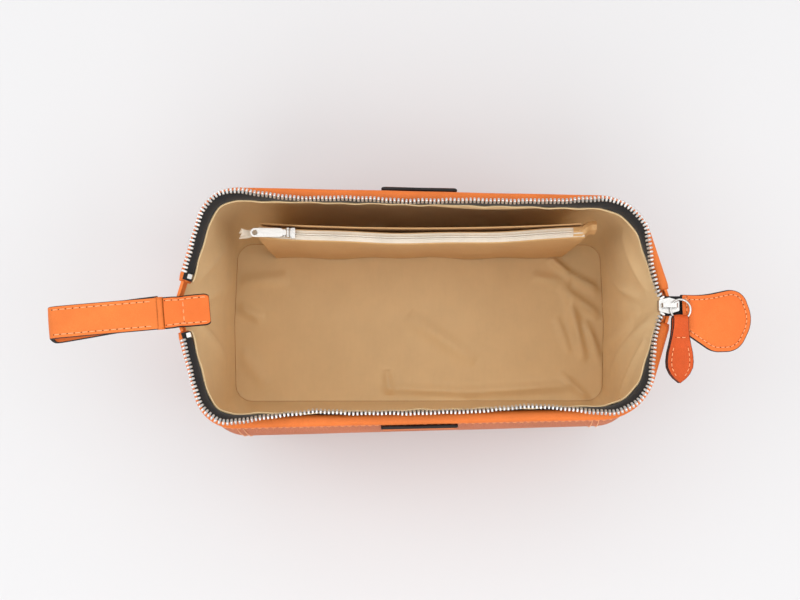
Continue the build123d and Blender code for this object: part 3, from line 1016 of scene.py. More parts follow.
    def floor(self) -> Object:
        """The floor lining: a sheet over the board whose rim meets the walls, with shallow creases.

        Returns:
            The sheet.
        """
        rings, deeper, narrower = 90, 1.15, 0.8
        outline = self.form.surface(-0.0008, np.array([LINING_FLOOR]))[0, :, :2]
        share = np.linspace(0.0, 1.0, rings)[:, None, None] ** 0.9
        flat = outline[None] * share
        p = np.concatenate([flat, np.zeros(flat.shape[:2] + (1,))], -1)
        rise = 0.0004 * np.sin(p[..., 0] * 60 + 1.0) * np.sin(p[..., 1] * 50)
        for start, end, width, height in FLOOR_CREASES:
            rise = rise + deeper * height * crease(p, start, end, narrower * width)
        rim = smooth((1.0 - share[..., 0]) / 0.05)
        p[..., 2] = LINING_FLOOR + rise * (0.25 + 0.75 * rim)
        faces = grid_faces(*p.shape[:2], wrap=True)
        piece = make_mesh("floor_lining_sheet", p, faces, self.finishes.lining, p[..., :2])
        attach(piece, "bag")
        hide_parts("floor_lining")
        return piece


def dress_node(node: str, finish: Material) -> None:
    """Gives a solid that stays shown its finish.

    Args:
        node: The solid's name.
        finish: The material.
    """
    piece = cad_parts[node]
    for slot in piece.material_slots:
        slot.material = finish
    if not piece.material_slots:
        piece.data.materials.append(finish)


@dataclass
class Stitches:
    """A row of sewn stitches: short threads that dip at both ends, each with a flat disc of painted shade
    before it, where the thread goes in.
    """

    finishes: Finishes
    length: float = 0.0030
    gap: float = 0.0011
    radius: float = 0.00032
    sides: int = 6
    steps: int = 5

    def build(self, name: str, line: np.ndarray, normal: np.ndarray) -> Object:
        """Lays stitches along a line.

        Each stitch is a tube along a low arch. Its middle stands off the surface by 1.3 times the sine of
        half a turn, less 0.55, in radii, so that both its ends dip.

        Args:
            name: The object's name.
            line: N by 3 points on the surface.
            normal: The surface's unit normal, one or one a point.

        Returns:
            One object with every stitch.
        """
        run = lengths(line, 0)
        pitch = self.length + self.gap
        count = max(int(run[-1] / pitch), 1)
        start = (run[-1] - count * pitch + self.gap) / 2 + np.arange(count) * pitch
        t = np.linspace(0.0, 1.0, self.steps)
        where = start[:, None] + t[None] * self.length
        centre = resample(where, run, line)
        up = resample(where, run, np.broadcast_to(normal, line.shape))
        along = resample(where, run, direction(line))
        side = np.cross(along, up)
        side /= np.linalg.norm(side, axis=-1, keepdims=True)
        turn = np.linspace(0, 2 * math.pi, self.sides, endpoint=False)
        lift = (np.sin(np.pi * t) * 1.3 - 0.55) * self.radius
        thick = self.radius * (0.75 + 0.25 * np.sin(np.pi * t))
        high = lift[None, :, None, None] + thick[None, :, None, None] * np.sin(turn)[:, None]
        ring = centre[:, :, None] + up[:, :, None] * high
        ring = ring + side[:, :, None] * thick[None, :, None, None] * np.cos(turn)[:, None]
        one, each = grid_faces(self.steps, self.sides, wrap=True), self.steps * self.sides
        faces = (one[None] + (np.arange(count) * each)[:, None, None]).reshape(-1, 4)
        holes, hole_shade_faces = self.holes(centre, up, side, along, count * each)
        points = np.concatenate([ring.reshape(-1, 3), holes])
        faces_of_both = np.concatenate([faces, hole_shade_faces])
        thread = self.finishes.orange_thread
        made = make_mesh(name, points, faces_of_both, thread, np.zeros((len(points), 2)))
        # The discs take the painted shade finish, which stands for the shade in the thread's recesses.
        made.data.materials.append(self.finishes.stitch_hole)
        index = np.concatenate([np.zeros(len(faces), np.int32), np.ones(len(hole_shade_faces), np.int32)])
        made.data.polygons.foreach_set("material_index", index)
        return made

    def holes(
        self, centre: np.ndarray, up: np.ndarray, side: np.ndarray, along: np.ndarray, first: int
    ) -> tuple[np.ndarray, np.ndarray]:
        """Painted shade where the thread goes down into the leather: a flat dark six-sided disc just before
        each stitch.

        Args:
            centre: Each stitch's middle line.
            up: The surface's normals along it.
            side: The unit vectors across it.
            along: Its directions.
            first: The number of the discs' first vertex.

        Returns:
            The discs' points and faces.
        """
        corners, above = 6, 0.00006
        turn = np.linspace(0, 2 * math.pi, corners, endpoint=False)
        middle = centre[:, 0] - along[:, 0] * self.gap / 2 + up[:, 0] * above
        size = self.radius * 1.25
        disc = middle[:, None] + size * (
            np.cos(turn)[None, :, None] * along[:, :1] + np.sin(turn)[None, :, None] * side[:, :1]
        )
        one = np.array([[0, 1, 2, 3], [0, 3, 4, 5]])[:, ::-1]
        faces = (one[None] + first + (np.arange(len(middle)) * corners)[:, None, None]).reshape(-1, 4)
        return disc.reshape(-1, 3), faces


STATIONS = {
    Half.BACK: (
        (0, -0.2), (58, 0.0), (72, 0.8), (85, 2.6), (103, 4.7), (125, 3.8), (150, 3.9), (168, 4.9),
        (195, 3.6), (230, 3.3), (255, 2.8), (275, 1.2), (293, 0.0), (316, 0.4), (330, 2.8), (340, 4.6),
        (352, 5.6),
    ),
    Half.FRONT: (
        (0, -0.2), (60, 0.0), (75, 1.4), (95, 4.2), (115, 5.8), (137, 4.4), (170, 3.6), (205, 3.8),
        (225, 5.0), (242, 6.2), (257, 4.6), (272, 2.4), (290, 0.6), (303, 0.0), (318, 0.4), (331, 2.6),
        (341, 4.4), (352, 5.5),
    ),
}
"""How far in the zip's edge stands at distances along each half, in millimetres, read off the photograph."""
LINING_EDGE = ((1.0, -12.7), (3.4, -10.6), (4.9, -7.6), (5.6, -5.0), (5.7, -3.9), (5.2, -3.4), (4.6, -3.9))
"""The turned lining edge's section: how far in from the casing's middle and how high above the hinge line it
is, in millimetres."""
TOOTH = ((-1, -0.34), (-0.45, -0.5), (0.5, -0.5), (1, -0.3), (1, 0.3), (0.5, 0.5), (-0.45, 0.5), (-1, 0.34))
"""A tooth's outline, in half lengths by widths: a narrow foot, a waist and a head."""
TOOTH_CAPS = ((3, 2, 1, 0), (7, 6, 5, 4), (4, 3, 0, 7), (24, 25, 26, 27), (28, 29, 30, 31), (31, 24, 27, 28))
"""The faces that close the two ends of a tooth's four rings of eight points."""


def raised(flat: np.ndarray, z: np.ndarray | float) -> np.ndarray:
    """Points in plan, put at heights above the hinge line."""
    return np.concatenate([flat, (HINGE_HEIGHT + np.broadcast_to(z, len(flat)))[:, None]], -1)


@dataclass
class MouthHalf:
    """One half of the mouth: its casing, zip tape, teeth, stop and seam."""

    half: Half
    mouth: MouthLine
    finishes: Finishes
    width: float = 0.007
    height: float = 0.010
    drop: float = 0.0026
    tooth_pitch: float = 0.00236
    shoulder: tuple[float, float] = (0.1412, 0.0047)
    casing_ends: tuple[float, float] = (0.0150, 0.0099)
    tooth_size: Triple = (0.0033, 0.00145, 0.0021)

    def lean(self, line: np.ndarray) -> tuple[np.ndarray, np.ndarray]:
        """Where the zip's edge stands along the mouth, from the stations read off the photograph.

        It runs straight from station to station, is averaged over a centimetre, and carries a fine ripple.

        Args:
            line: N by 2 points down the casing's middle.

        Returns:
            How far in from the casing's middle the edge is, and how high it stands above the hinge line.
        """
        run = lengths(line, 0)
        stations = np.array(STATIONS[self.half]) * MM
        fine, window = np.linspace(0.0, run[-1], 701), 23
        kernel = np.hanning(window) / np.hanning(window).sum()
        padded = np.pad(np.interp(fine, stations[:, 0], stations[:, 1]), window // 2, mode="edge")
        inward = np.interp(run, fine, np.convolve(padded, kernel, "valid"))
        inward = inward + 0.00016 * np.sin(run * 410 + self.half.sign) + 0.00012 * np.sin(run * 173)
        high = 0.0056 - 0.10 * np.clip(inward, 0, 1) + 0.0002 * np.sin(run * 260)
        return inward, np.minimum(high, 0.14 * np.abs(line[:, 1]) - 0.0008)

    def at(self, line: np.ndarray, inward: np.ndarray | float, z: np.ndarray | float) -> np.ndarray:
        """Points at a distance in from the casing's middle and a height above the hinge line."""
        shift = self.mouth.inward(line, self.half) * np.broadcast_to(inward, len(line))[:, None]
        return raised(line + shift, z)

    def casing(self) -> list[Object]:
        """The rolled leather: a rounded profile round the frame, a little uneven, and its outer seam.

        Returns:
            The casing and its seam.
        """
        word, low = self.half.word, -self.drop - self.height
        line = self.mouth.line(self.half, 0.0012, *self.casing_ends)
        x = line[:, 0]
        wobble = 1 + 0.035 * np.sin(x * 90 + self.half.sign) * np.sin(x * 37)
        profile = rounded_profile(self.width, self.height, 0.0028, 6)
        profile = profile[None] * np.stack([wobble, np.ones_like(wobble)], -1)[:, None]
        from_end = np.minimum(np.arange(len(line)), np.arange(len(line))[::-1])
        profile = profile * (0.88 + 0.12 * smooth(from_end / 3.0))[:, None, None]
        if self.half is Half.FRONT:
            profile = profile[:, ::-1]
        out = np.concatenate([-self.mouth.inward(line, self.half), np.zeros((len(line), 1))], -1)
        middle = self.at(line, 0.0, -self.drop - self.height / 2)
        leather = carried(middle, out, UP, profile)
        piece = closed_surface(f"{word}_casing_leather", leather, self.finishes.saddle)
        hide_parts(f"{word}_casing")
        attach(piece, self.half.body)
        side = self.at(line, -self.width / 2 - 0.00005, low + 0.0024)
        seam = Stitches(self.finishes).build(f"{word}_casing_stitches", side[4:-4], out[4:-4])
        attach(seam, self.half.body)
        return [piece, seam]

    def edge(self, spacing: float) -> tuple[np.ndarray, np.ndarray, np.ndarray, np.ndarray]:
        """The zip's edge along the casing and on to the slider.

        Past the casing it follows a parabola to the slider's shoulder.

        Args:
            spacing: About how far apart its points are.

        Returns:
            The edge's points, the unit vectors into the bag, how flat the teeth lie, and each point's share
            of the frame's swing.
        """
        line = self.mouth.line(self.half, 0.0006)
        inward, high = self.lean(line)
        along = self.at(line, inward, high)
        end, sign = along[-1], self.half.sign
        shoulder = np.array([self.shoulder[0], self.shoulder[1] * sign, HINGE_HEIGHT + 0.0004])
        bend = np.array([end[0] + 0.0012, (end[1] * 0.45 + shoulder[1] * 0.55), (end[2] + shoulder[2]) / 2])
        t = np.linspace(0.0, 1.0, 24)[1:, None]
        lead = (1 - t) ** 2 * end + 2 * t * (1 - t) * bend + t**2 * shoulder
        flat = np.clip((0.0032 - inward) / 0.006, 0.0, 1.0)
        whole = np.concatenate([along, lead])
        lie = np.concatenate([flat, flat[-1] + (0.9 - flat[-1]) * t[:, 0]])
        share = np.concatenate([np.ones(len(along)), 1 - smooth(t[:, 0])])
        run = lengths(whole, 0)
        where = np.linspace(0.0, run[-1], int(run[-1] / spacing) + 1)
        points = resample(where, run, whole)
        heading = direction(points[:, :2])
        into = np.stack([heading[:, 1], -heading[:, 0]], -1) * sign
        return points, into, np.interp(where, run, lie), np.interp(where, run, share)

    def hang(self, piece: Object) -> None:
        """Bakes the transform of a piece of the zip into its mesh.

        Args:
            piece: The piece.
        """
        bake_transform(piece)

    def tape(self) -> Object:
        """The woven tape from the casing's inner face up to the teeth.

        Each section is a cubic: from its foot in the casing, past a shoulder and a bow, to the teeth.

        Returns:
            The sheet.
        """
        points, into, lie, share = self.edge(0.0012)
        line = self.mouth.line(self.half, 0.0006)
        run, reach = lengths(line, 0), lengths(points, 0)
        casing_end = reach[share > 0.999][-1]
        where = np.minimum(reach * run[-1] / casing_end, run[-1])
        casing, inner = resample(where, run, line), resample(where, run, self.mouth.inward(line, self.half))
        away = np.clip((reach - casing_end) / 0.010, 0, 1)[:, None]
        near, tilt = 1 - away, lie[:, None]
        rail = casing + inner * (self.width / 2 + 0.0003)
        rail = rail * near + (points[:, :2] + [0.004, 0]) * away
        foot = raised(rail, -0.0080 + 0.005 * away[:, 0])
        shoulder = raised(rail + into * (0.0016 + 0.0016 * tilt) * near, -0.0012 - 0.0004 * lie)
        bow = points + np.concatenate([into * (0.0004 + 0.0026 * tilt) * near, -0.0022 + 0.0008 * tilt], -1)
        edge = points - [0, 0, 0.0005]
        t = np.linspace(0, 1, 12)[:, None, None]
        curve = (1 - t) ** 3 * foot + 3 * (1 - t) ** 2 * t * shoulder + 3 * (1 - t) * t**2 * bow + t**3 * edge
        word, turned = self.half.word, self.half is Half.FRONT
        sheet = grid_surface(f"{word}_tape_cloth", curve, self.finishes.black_tape, flip=turned)
        width = mean_lengths(curve)[1]
        self.hang(sheet)
        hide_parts(f"{word}_zip_tape")
        return sheet

    def lining_edge(self) -> Object:
        """The lining's turned edge: it rises from under the casing, and ends in a small uneven roll.

        Returns:
            The sheet.
        """
        line = self.mouth.line(self.half, 0.0009)
        lie = np.clip((0.0032 - self.lean(line)[0]) / 0.005, 0.0, 1.0)
        run = lengths(line, 0)
        roll = 0.0003 * np.sin(run * 330) + 0.00025 * np.sin(run * 149 + 1.0)
        section = np.array(LINING_EDGE) * MM
        last, steps_each = len(section) - 1, 3
        section = resample(np.linspace(0, last, last * steps_each + 1), np.arange(last + 1), section)
        loose = smooth((section[:, 1:] + 0.010) / 0.005)
        reach = section[:, :1] + (roll + 0.0006 * (lie - 0.5))[None] * loose
        height = section[:, 1:] + roll[None] * 0.7 * loose
        flat = line[None] + self.mouth.inward(line, self.half)[None] * reach[..., None]
        points = np.concatenate([flat, (HINGE_HEIGHT + height)[..., None]], -1)
        word, turned = self.half.word, self.half is Half.FRONT
        piece = grid_surface(f"{word}_lining_edge", points, self.finishes.lining, flip=turned)
        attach(piece, self.half.body)
        return piece

    def teeth(self) -> Object:
        """The row of teeth: small clamped blocks with a waist, laid across the tape's edge and tipped.

        A tooth is its outline at four heights, smaller at the first and the last.

        Returns:
            One object with every tooth.
        """
        centre, across, lie, share = (values[2:] for values in self.edge(self.tooth_pitch))
        centre = centre + [0, 0, 0.0005]
        tilt = 0.5 + 0.75 * lie
        across = np.concatenate([across * -np.sin(tilt)[:, None], np.cos(tilt)[:, None]], -1)
        along = direction(centre)
        normal = np.cross(along, across)
        length, width, thick = self.tooth_size
        layers, shrink = np.array([-0.5, -0.36, 0.36, 0.5]), np.array([0.7, 1.0, 1.0, 0.7])
        local = np.array(TOOTH)[None] * shrink[:, None, None]
        points = (
            centre[:, None, None]
            + local[None, ..., :1] * (length / 2) * across[:, None, None]
            + local[None, ..., 1:] * width * along[:, None, None]
            + (layers * thick)[None, :, None, None] * normal[:, None, None]
        )
        each = len(layers) * len(TOOTH)
        one = np.concatenate([grid_faces(len(layers), len(TOOTH), wrap=True), np.array(TOOTH_CAPS)])
        one = outward(points[0], one)
        faces = (one[None] + (np.arange(len(centre)) * each)[:, None, None]).reshape(-1, 4)
        piece = make_mesh(f"{self.half.word}_teeth_row", points, faces, self.finishes.teeth)
        piece.data.polygons.foreach_set("use_smooth", np.zeros(len(piece.data.polygons), bool))
        self.hang(piece)
        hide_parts(f"{self.half.word}_zip_teeth")
        return piece

    def build(self) -> list[Object]:
        """Builds this half.

        Returns:
            The pieces.
        """
        made = self.casing() + [self.tape(), self.lining_edge(), self.teeth()]
        dress_node(f"{self.half.word}_top_stop", self.finishes.plated)
        dress_node(f"{self.half.word}_frame_strip", self.finishes.steel)
        return made


@dataclass
class Strip:
    """A leather strip laid along a line, with a slightly crowned face and painted edges."""

    line: np.ndarray
    across: np.ndarray
    half_width: np.ndarray
    thickness: float
    crown: float = 0.0003

    def up(self) -> np.ndarray:
        """The unit vectors that stand on the strip's face."""
        up = np.cross(direction(self.line), np.broadcast_to(self.across, self.line.shape))
        return up / np.linalg.norm(up, axis=-1, keepdims=True)

    def leather(self, name: str, face: Material, edge: Material) -> Object:
        """Builds the strip.

        Its section is a rounded rectangle whose upper side is raised by the crown times one less the square
        of the share of the half width.

        Args:
            name: The object's name.
            face: The leather.
            edge: The paint on its edges.

        Returns:
            The object.
        """
        radius = self.thickness * 0.46
        turn = np.linspace(0.0, math.pi / 2, 6)
        across_face = np.linspace(1.0, -1.0, 11)[1:-1]
        x, y = np.cos(turn) * radius, np.sin(turn) * radius
        corner_paint = ([1, 1, 1, 1, 0], [0, 1, 1, 1, 1], [1] * 5, [1] * 5)
        sides, ups, offs, paint = [], [], [], []
        for k, (side, top) in enumerate(((1, 1), (-1, 1), (-1, -1), (1, -1))):
            c, s = math.cos(k * math.pi / 2), math.sin(k * math.pi / 2)
            sides.append(np.full(len(turn), float(side)))
            ups.append(np.full(len(turn), top * (self.thickness / 2 - radius)) + (c * y + s * x))
            offs.append(c * x - s * y)
            paint.append(np.array(corner_paint[k]))
            if k in (0, 2):
                sides.append(across_face * side)
                ups.append(np.full(len(across_face), top * self.thickness / 2))
                offs.append(np.zeros(len(across_face)))
                paint.append(np.zeros(len(across_face) + 1))
            else:
                paint.append(np.ones(1))
        side, up, off = (np.concatenate(v) for v in (sides, ups, offs))
        wide = side[None] * (self.half_width[:, None] - radius) + off[None]
        crowned = up[None] + self.crown * (1 - side[None] ** 2) * (up[None] > 0)
        profile = np.stack([wide, np.broadcast_to(crowned, wide.shape)], -1)
        points = carried(self.line, self.across, self.up(), profile)
        painted = np.broadcast_to(np.concatenate(paint), (len(points) - 1, len(side))).copy()
        painted[[0, -1]] = 1
        return closed_surface(name, points, face, edge, painted)

    def seam(self, side: float, inset: float, start: float, end: float) -> np.ndarray:
        """A line on the strip's face beside one edge.

        Args:
            side: Which edge: 1, or -1 for the other.
            inset: How far in from the edge.
            start: Where it starts, as a share of the strip's length.
            end: Where it ends.

        Returns:
            N by 3 points.
        """
        run = lengths(self.line, 0)
        keep = (run >= start * run[-1]) & (run <= end * run[-1])
        across = np.broadcast_to(self.across, self.line.shape)
        place = self.line + across * (side * np.maximum(self.half_width - inset, 0))[:, None]
        return (place + self.up() * (self.thickness / 2 + self.crown * 0.4))[keep]

    def sewn(
        self, sew: Stitches, names: tuple[str, str], inset: float, start: float, end: float, up: np.ndarray
    ) -> list[Object]:
        """A row of stitches beside each edge, between two shares of the strip's length."""
        return [sew.build(name, self.seam(side, inset, start, end), up) for side, name in zip((-1, 1), names)]


@dataclass
class WristStrap:
    """The wrist strap: a stitched strip of two layers folded into a flat loop, and its sewn inner end."""

    finishes: Finishes
    root: tuple[float, float] = (-0.1556, -0.0044)
    turn: float = math.radians(5.5)
    width: float = 0.0190
    layer: float = 0.0012
    gap: float = 0.009
    reach: float = 0.0655
    root_radius: float = 0.0026
    seam_inset: float = 0.0022
    end_start: Triple = (-0.1528, -0.0043, HINGE_HEIGHT + 0.0004)
    end_length: float = 0.0268
    end_thickness: float = 0.0024

    def loop(self, depth: float, start: float) -> np.ndarray:
        """One layer's middle line, from under the root, round the far fold, to over the root.

        Each side is a cubic from the root that ends level, and the far end is half a circle. The lower side
        drifts sideways, as the photograph shows.

        Args:
            depth: How deep in the strap the layer's middle is.
            start: How far out from the root it starts.

        Returns:
            N by 3 points.
        """
        half = self.gap / 2 + 2 * self.layer - depth
        root, bend = self.root_radius - depth, self.reach - 2 * self.layer - self.gap / 2
        t = np.linspace(0.0, 1.0, 40)
        side = np.stack([start + (bend - start) * t, root + (half - root) * smooth(t * 0.98 + 0.02)], -1)
        turn = np.linspace(math.pi / 2, -math.pi / 2, 22)[1:-1]
        fold = np.stack([bend + half * np.cos(turn), half * np.sin(turn)], -1)
        flat = np.concatenate([side, fold, side[::-1] * [1, -1]])[::-1]
        base = np.array([self.root[0], self.root[1], HINGE_HEIGHT])
        line = base - flat[:, :1] * self.along() + flat[:, 1:] * UP
        low = smooth(-flat[:, 1] / half + 0.2)
        drift = (0.0024 - 0.0042 * flat[:, 0] / bend) * low
        return line + drift[:, None] * self.across()

    def along(self) -> np.ndarray:
        """The unit vector along the strap, towards the bag."""
        return np.array([math.cos(self.turn), math.sin(self.turn), 0.0])

    def across(self) -> np.ndarray:
        """The unit vector across the strap."""
        return np.array([-math.sin(self.turn), math.cos(self.turn), 0.0])

    def build(self) -> list[Object]:
        """Builds both layers, the inner end and the stitches.

        Returns:
            The pieces.
        """
        f = self.finishes
        made = []
        for name, depth, start, node in (
            ("strap_outer", self.layer / 2, 0.0010, "wrist_strap"),
            ("strap_inner_layer", self.layer * 1.5 + 0.0001, self.root_radius + 0.0002, "strap_backing"),
        ):
            line = even(self.loop(depth, start), 0.0012)
            strip = Strip(line, self.across(), np.full(len(line), self.width / 2), self.layer, 0.0002)
            piece = strip.leather(name, f.saddle, f.painted_edge)
            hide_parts(node)
            made.append(piece)
            if node == "wrist_strap":
                names = ("strap_near_stitches", "strap_far_stitches")
                made += strip.sewn(Stitches(f), names, self.seam_inset, 0.54, 0.985, strip.up()[-1])
        made.append(self.rolled_root())
        for piece in made:
            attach(piece, "wrist_loop")
        return made + self.inner_end()

    def rolled_root(self) -> Object:
        """The rolled root that the loop turns on: a round bar of leather across the strap.

        Returns:
            The bar.
        """
        span = np.linspace(-1.0, 1.0, 9)[:, None] * self.width / 2
        line = np.array([self.root[0], self.root[1], HINGE_HEIGHT]) + span * self.across()
        ring = rounded_profile(2 * self.root_radius, 2 * self.root_radius, self.root_radius * 0.98, 6)
        points = carried(line, self.along(), UP, ring)
        return closed_surface("strap_rolled_root", points, self.finishes.saddle)

    def inner_end(self) -> list[Object]:
        """The sewn inner end: a double strip with a cross seam, pressed down at its fold.

        Returns:
            The strip and its three rows of stitches.
        """
        f = self.finishes
        t = np.linspace(0.0, 1.0, 36)[:, None]
        sunk = 0.0005 * bump(t, 0.42, 0.05) + 0.0008 * t**3
        line = np.array(self.end_start) + self.along() * self.end_length * t - UP * sunk
        half = np.full(len(line), self.width / 2) * (1 - 0.035 * bump(t[:, 0], 0.35, 0.12))
        half[-4:] -= np.array([0.0001, 0.0003, 0.0007, 0.0014])
        strip = Strip(line, self.across(), half, self.end_thickness, 0.0003)
        piece = strip.leather("strap_sewn_end", f.tab, f.painted_edge)
        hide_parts("strap_tab")
        sew, up = Stitches(f), strip.up()[0]
        names = ("strap_end_near_stitches", "strap_end_far_stitches")
        made = [piece] + strip.sewn(sew, names, self.seam_inset, 0.02, 0.96, up)
        cross_row, cross_half, above = 15, 0.0068, 0.00135
        cross = line[cross_row] + up * above
        cross = cross + self.across() * np.linspace(-cross_half, cross_half, 12)[:, None]
        made.append(sew.build("strap_cross_stitches", cross, up))
        for extra in made:
            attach(extra, "mouth_ends")
        return made


@dataclass
class Slab:
    """A flat leather piece cut to an outline: a crowned face and painted edges, on any plane."""

    outline: np.ndarray
    low: float
    high: float
    crown: float = 0.0005

    def grid(self) -> tuple[np.ndarray, np.ndarray]:
        """The slab's rings, from the middle of its underside, round its edge, to the middle of its face.

        Returns:
            Rings by columns by 3 points, two along the outline's plane and one height, and which faces are
            painted.
        """
        middle = self.outline.mean(0)
        thick = self.high - self.low
        turn = np.linspace(-math.pi / 2, math.pi / 2, 9)
        under = np.array([POLE, 0.5, 0.9, 0.985])
        face = 1 - np.linspace(0.0, 1.0, 16)[1:] ** 1.3
        face[-1] = POLE
        share = np.concatenate([under, np.ones(len(turn)), face])
        edge = np.cos(turn) * thick / 2
        out = np.concatenate([np.zeros(len(under)), edge, np.zeros(len(face))]) - thick / 2
        round_edge = (self.low + self.high) / 2 + np.sin(turn) * thick / 2
        crowned = self.high + self.crown * smooth((1 - face) / 0.35)
        height = np.concatenate([np.full(len(under), self.low), round_edge, crowned])
        arm = self.outline - middle
        unit = arm / np.linalg.norm(arm, axis=-1, keepdims=True)
        outset = (out * np.minimum(share * 2, 1))[:, None, None]
        flat = middle + arm[None] * share[:, None, None] + unit[None] * outset
        points = np.concatenate([flat, np.broadcast_to(height[:, None, None], flat.shape[:2] + (1,))], -1)
        painted = np.zeros((len(share) - 1, len(self.outline)))
        painted[len(under) - 1 : len(under) + len(turn) - 2] = 1
        return points, painted

    def seam(self, inset: float) -> np.ndarray:
        """A closed line on the face at an inset from the outline.

        Args:
            inset: How far in from the outline.

        Returns:
            N by 3 points.
        """
        along = np.roll(self.outline, -1, 0) - np.roll(self.outline, 1, 0)
        inwards = np.stack([-along[:, 1], along[:, 0]], -1) / np.linalg.norm(along, axis=-1, keepdims=True)
        side = np.sign(((self.outline.mean(0) - self.outline) * inwards).sum())
        flat = self.outline + inwards * side * inset
        return np.concatenate([flat, np.full((len(flat), 1), self.high + self.crown * 0.45)], -1)


@dataclass
class EndTab:
    """The leather tab past the slider: two layers sewn together round their edge."""

    finishes: Finishes
    corners: tuple[tuple[float, float, float], ...] = (
        (0.1527, 0.0066, 0.0008), (0.1660, 0.0062, 0.06), (0.1885, 0.0110, 0.0098), (0.1950, -0.0090, 0.02),
        (0.1860, -0.0270, 0.012), (0.1705, -0.0275, 0.011), (0.1527, -0.0152, 0.0015),
    )

    def outline(self) -> np.ndarray:
        """The tab's outline: straight edges between rounded corners, each a place and a radius, in metres.

        Returns:
            N by 2 points.
        """
        corners = np.array([c[:2] for c in self.corners])
        start = (corners[-1] + corners[0]) / 2
        ring = np.concatenate([[start], corners, [start]])
        return even(rounded_line(ring, [c[2] for c in self.corners], 14), 0.0007)[:-1]

    def waves(self, points: np.ndarray) -> np.ndarray:
        """How the leather undulates: two sines of place multiplied, in metres."""
        return 0.0004 * np.sin(points[..., 0] * 150) * np.sin(points[..., 1] * 110)

    def build(self) -> list[Object]:
        """Builds both layers and the seam.

        Returns:
            The pieces.
        """
        f, outline = self.finishes, self.outline()
        made = []
        for word, low, high, shift, crown in (
            ("upper", 0.1450, 0.1465, (0.0, 0.0), 0.0005),
            ("lower", 0.1425, 0.1446, (-0.0003, 0.0003), 0.0002),
        ):
            slab = Slab(outline + shift, low, high, crown)
            points, painted = slab.grid()
            points[..., 2] += self.waves(points)
            piece = closed_surface(f"tab_{word}_leather", points, f.tab, f.painted_edge, painted)
            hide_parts(f"end_tab_{word}")
            made.append(piece)
            if word == "upper":
                seam = slab.seam(0.0028)
                seam[:, 2] += self.waves(seam) + 0.0001
                made.append(Stitches(f, 0.0019, 0.0010, 0.00026).build("tab_stitches", seam, UP))
        for piece in made:
            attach(piece, "end_tab")
        return made


@dataclass
class Pull:
    """The leather zip pull: one strip folded round the wire ring and sewn to itself, cut to a leaf."""

    finishes: Finishes
    wire: Triple = (0.15115, -0.00823, 0.14885)
    length: float = 0.0372
    slope: float = math.radians(6.0)
    fold: float = 0.00175
    layer: float = 0.0013
    fold_points: int = 14

    def half_width(self, share: np.ndarray) -> np.ndarray:
        """The leaf's half width at shares of its length, read off the photograph, in metres.

        Args:
            share: The shares.

        Returns:
            A half width for each.
        """
        at = [0.0, 0.12, 0.25, 0.38, 0.52, 0.66, 0.76, 0.86, 0.93, 0.98, 1.0]
        wide = [4.6, 4.7, 5.3, 6.3, 7.5, 8.05, 7.7, 5.9, 3.7, 1.3, 0.35]
        return np.interp(share, at, wide) * MM

    def build(self) -> list[Object]:
        """Builds the folded strip and its seams.

        Returns:
            The strip and three rows of stitches.
        """
        f, bent = self.finishes, self.fold_points
        turn = np.linspace(-math.pi / 2, math.pi / 2, bent)
        bend = np.stack([np.cos(turn) * self.fold, np.sin(turn) * self.fold], -1)
        share = np.linspace(0.02, 1.0, 46)
        settle = self.fold + (self.layer / 2 - self.fold) * smooth(share / 0.34)
        drop = -np.tan(self.slope) * share * self.length
        upper = np.stack([-share * self.length, settle + 0.0001 + drop], -1)
        lower = np.stack([-share * self.length, -settle - 0.0001 + drop], -1)
        flat = np.concatenate([lower[::-1], bend, upper])
        leaf, root = self.half_width(share), np.full(bent, self.half_width(np.array(0.0)))
        width = np.concatenate([leaf[::-1], root, leaf])
        shift, fade = np.full(len(lower), 0.0006), np.linspace(0.0006, 0, bent)
        line = np.array(self.wire) + np.concatenate([np.zeros((len(flat), 1)), flat], -1)
        line[:, 0] += 0.0003 * flat[:, 0] / self.length - np.concatenate([shift, fade, np.zeros(len(upper))])
        across = np.array([1.0, 0.0, -0.06])
        strip = Strip(line, across / np.linalg.norm(across), width, self.layer, 0.0005)
        piece = strip.leather("pull_leather_strip", f.pull, f.painted_edge)
        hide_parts("leather_pull")
        sew, up = Stitches(f, 0.0020, 0.0011, 0.00024), np.array([0.0, -0.1, 1.0])
        names = ("pull_left_stitches", "pull_right_stitches")
        made = [piece] + strip.sewn(sew, names, 0.0026, 0.72, 0.96, up)
        row, cross_half, above = len(lower) + bent + int(len(upper) * 0.27), 0.0036, 0.0011
        cross = line[row] + strip.up()[row] * above
        cross = cross + np.array([1.0, 0, 0]) * np.linspace(-cross_half, cross_half, 8)[:, None]
        made.append(sew.build("pull_cross_stitches", cross, up))
        for extra in made:
            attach(extra, "zip_pull")
        return made


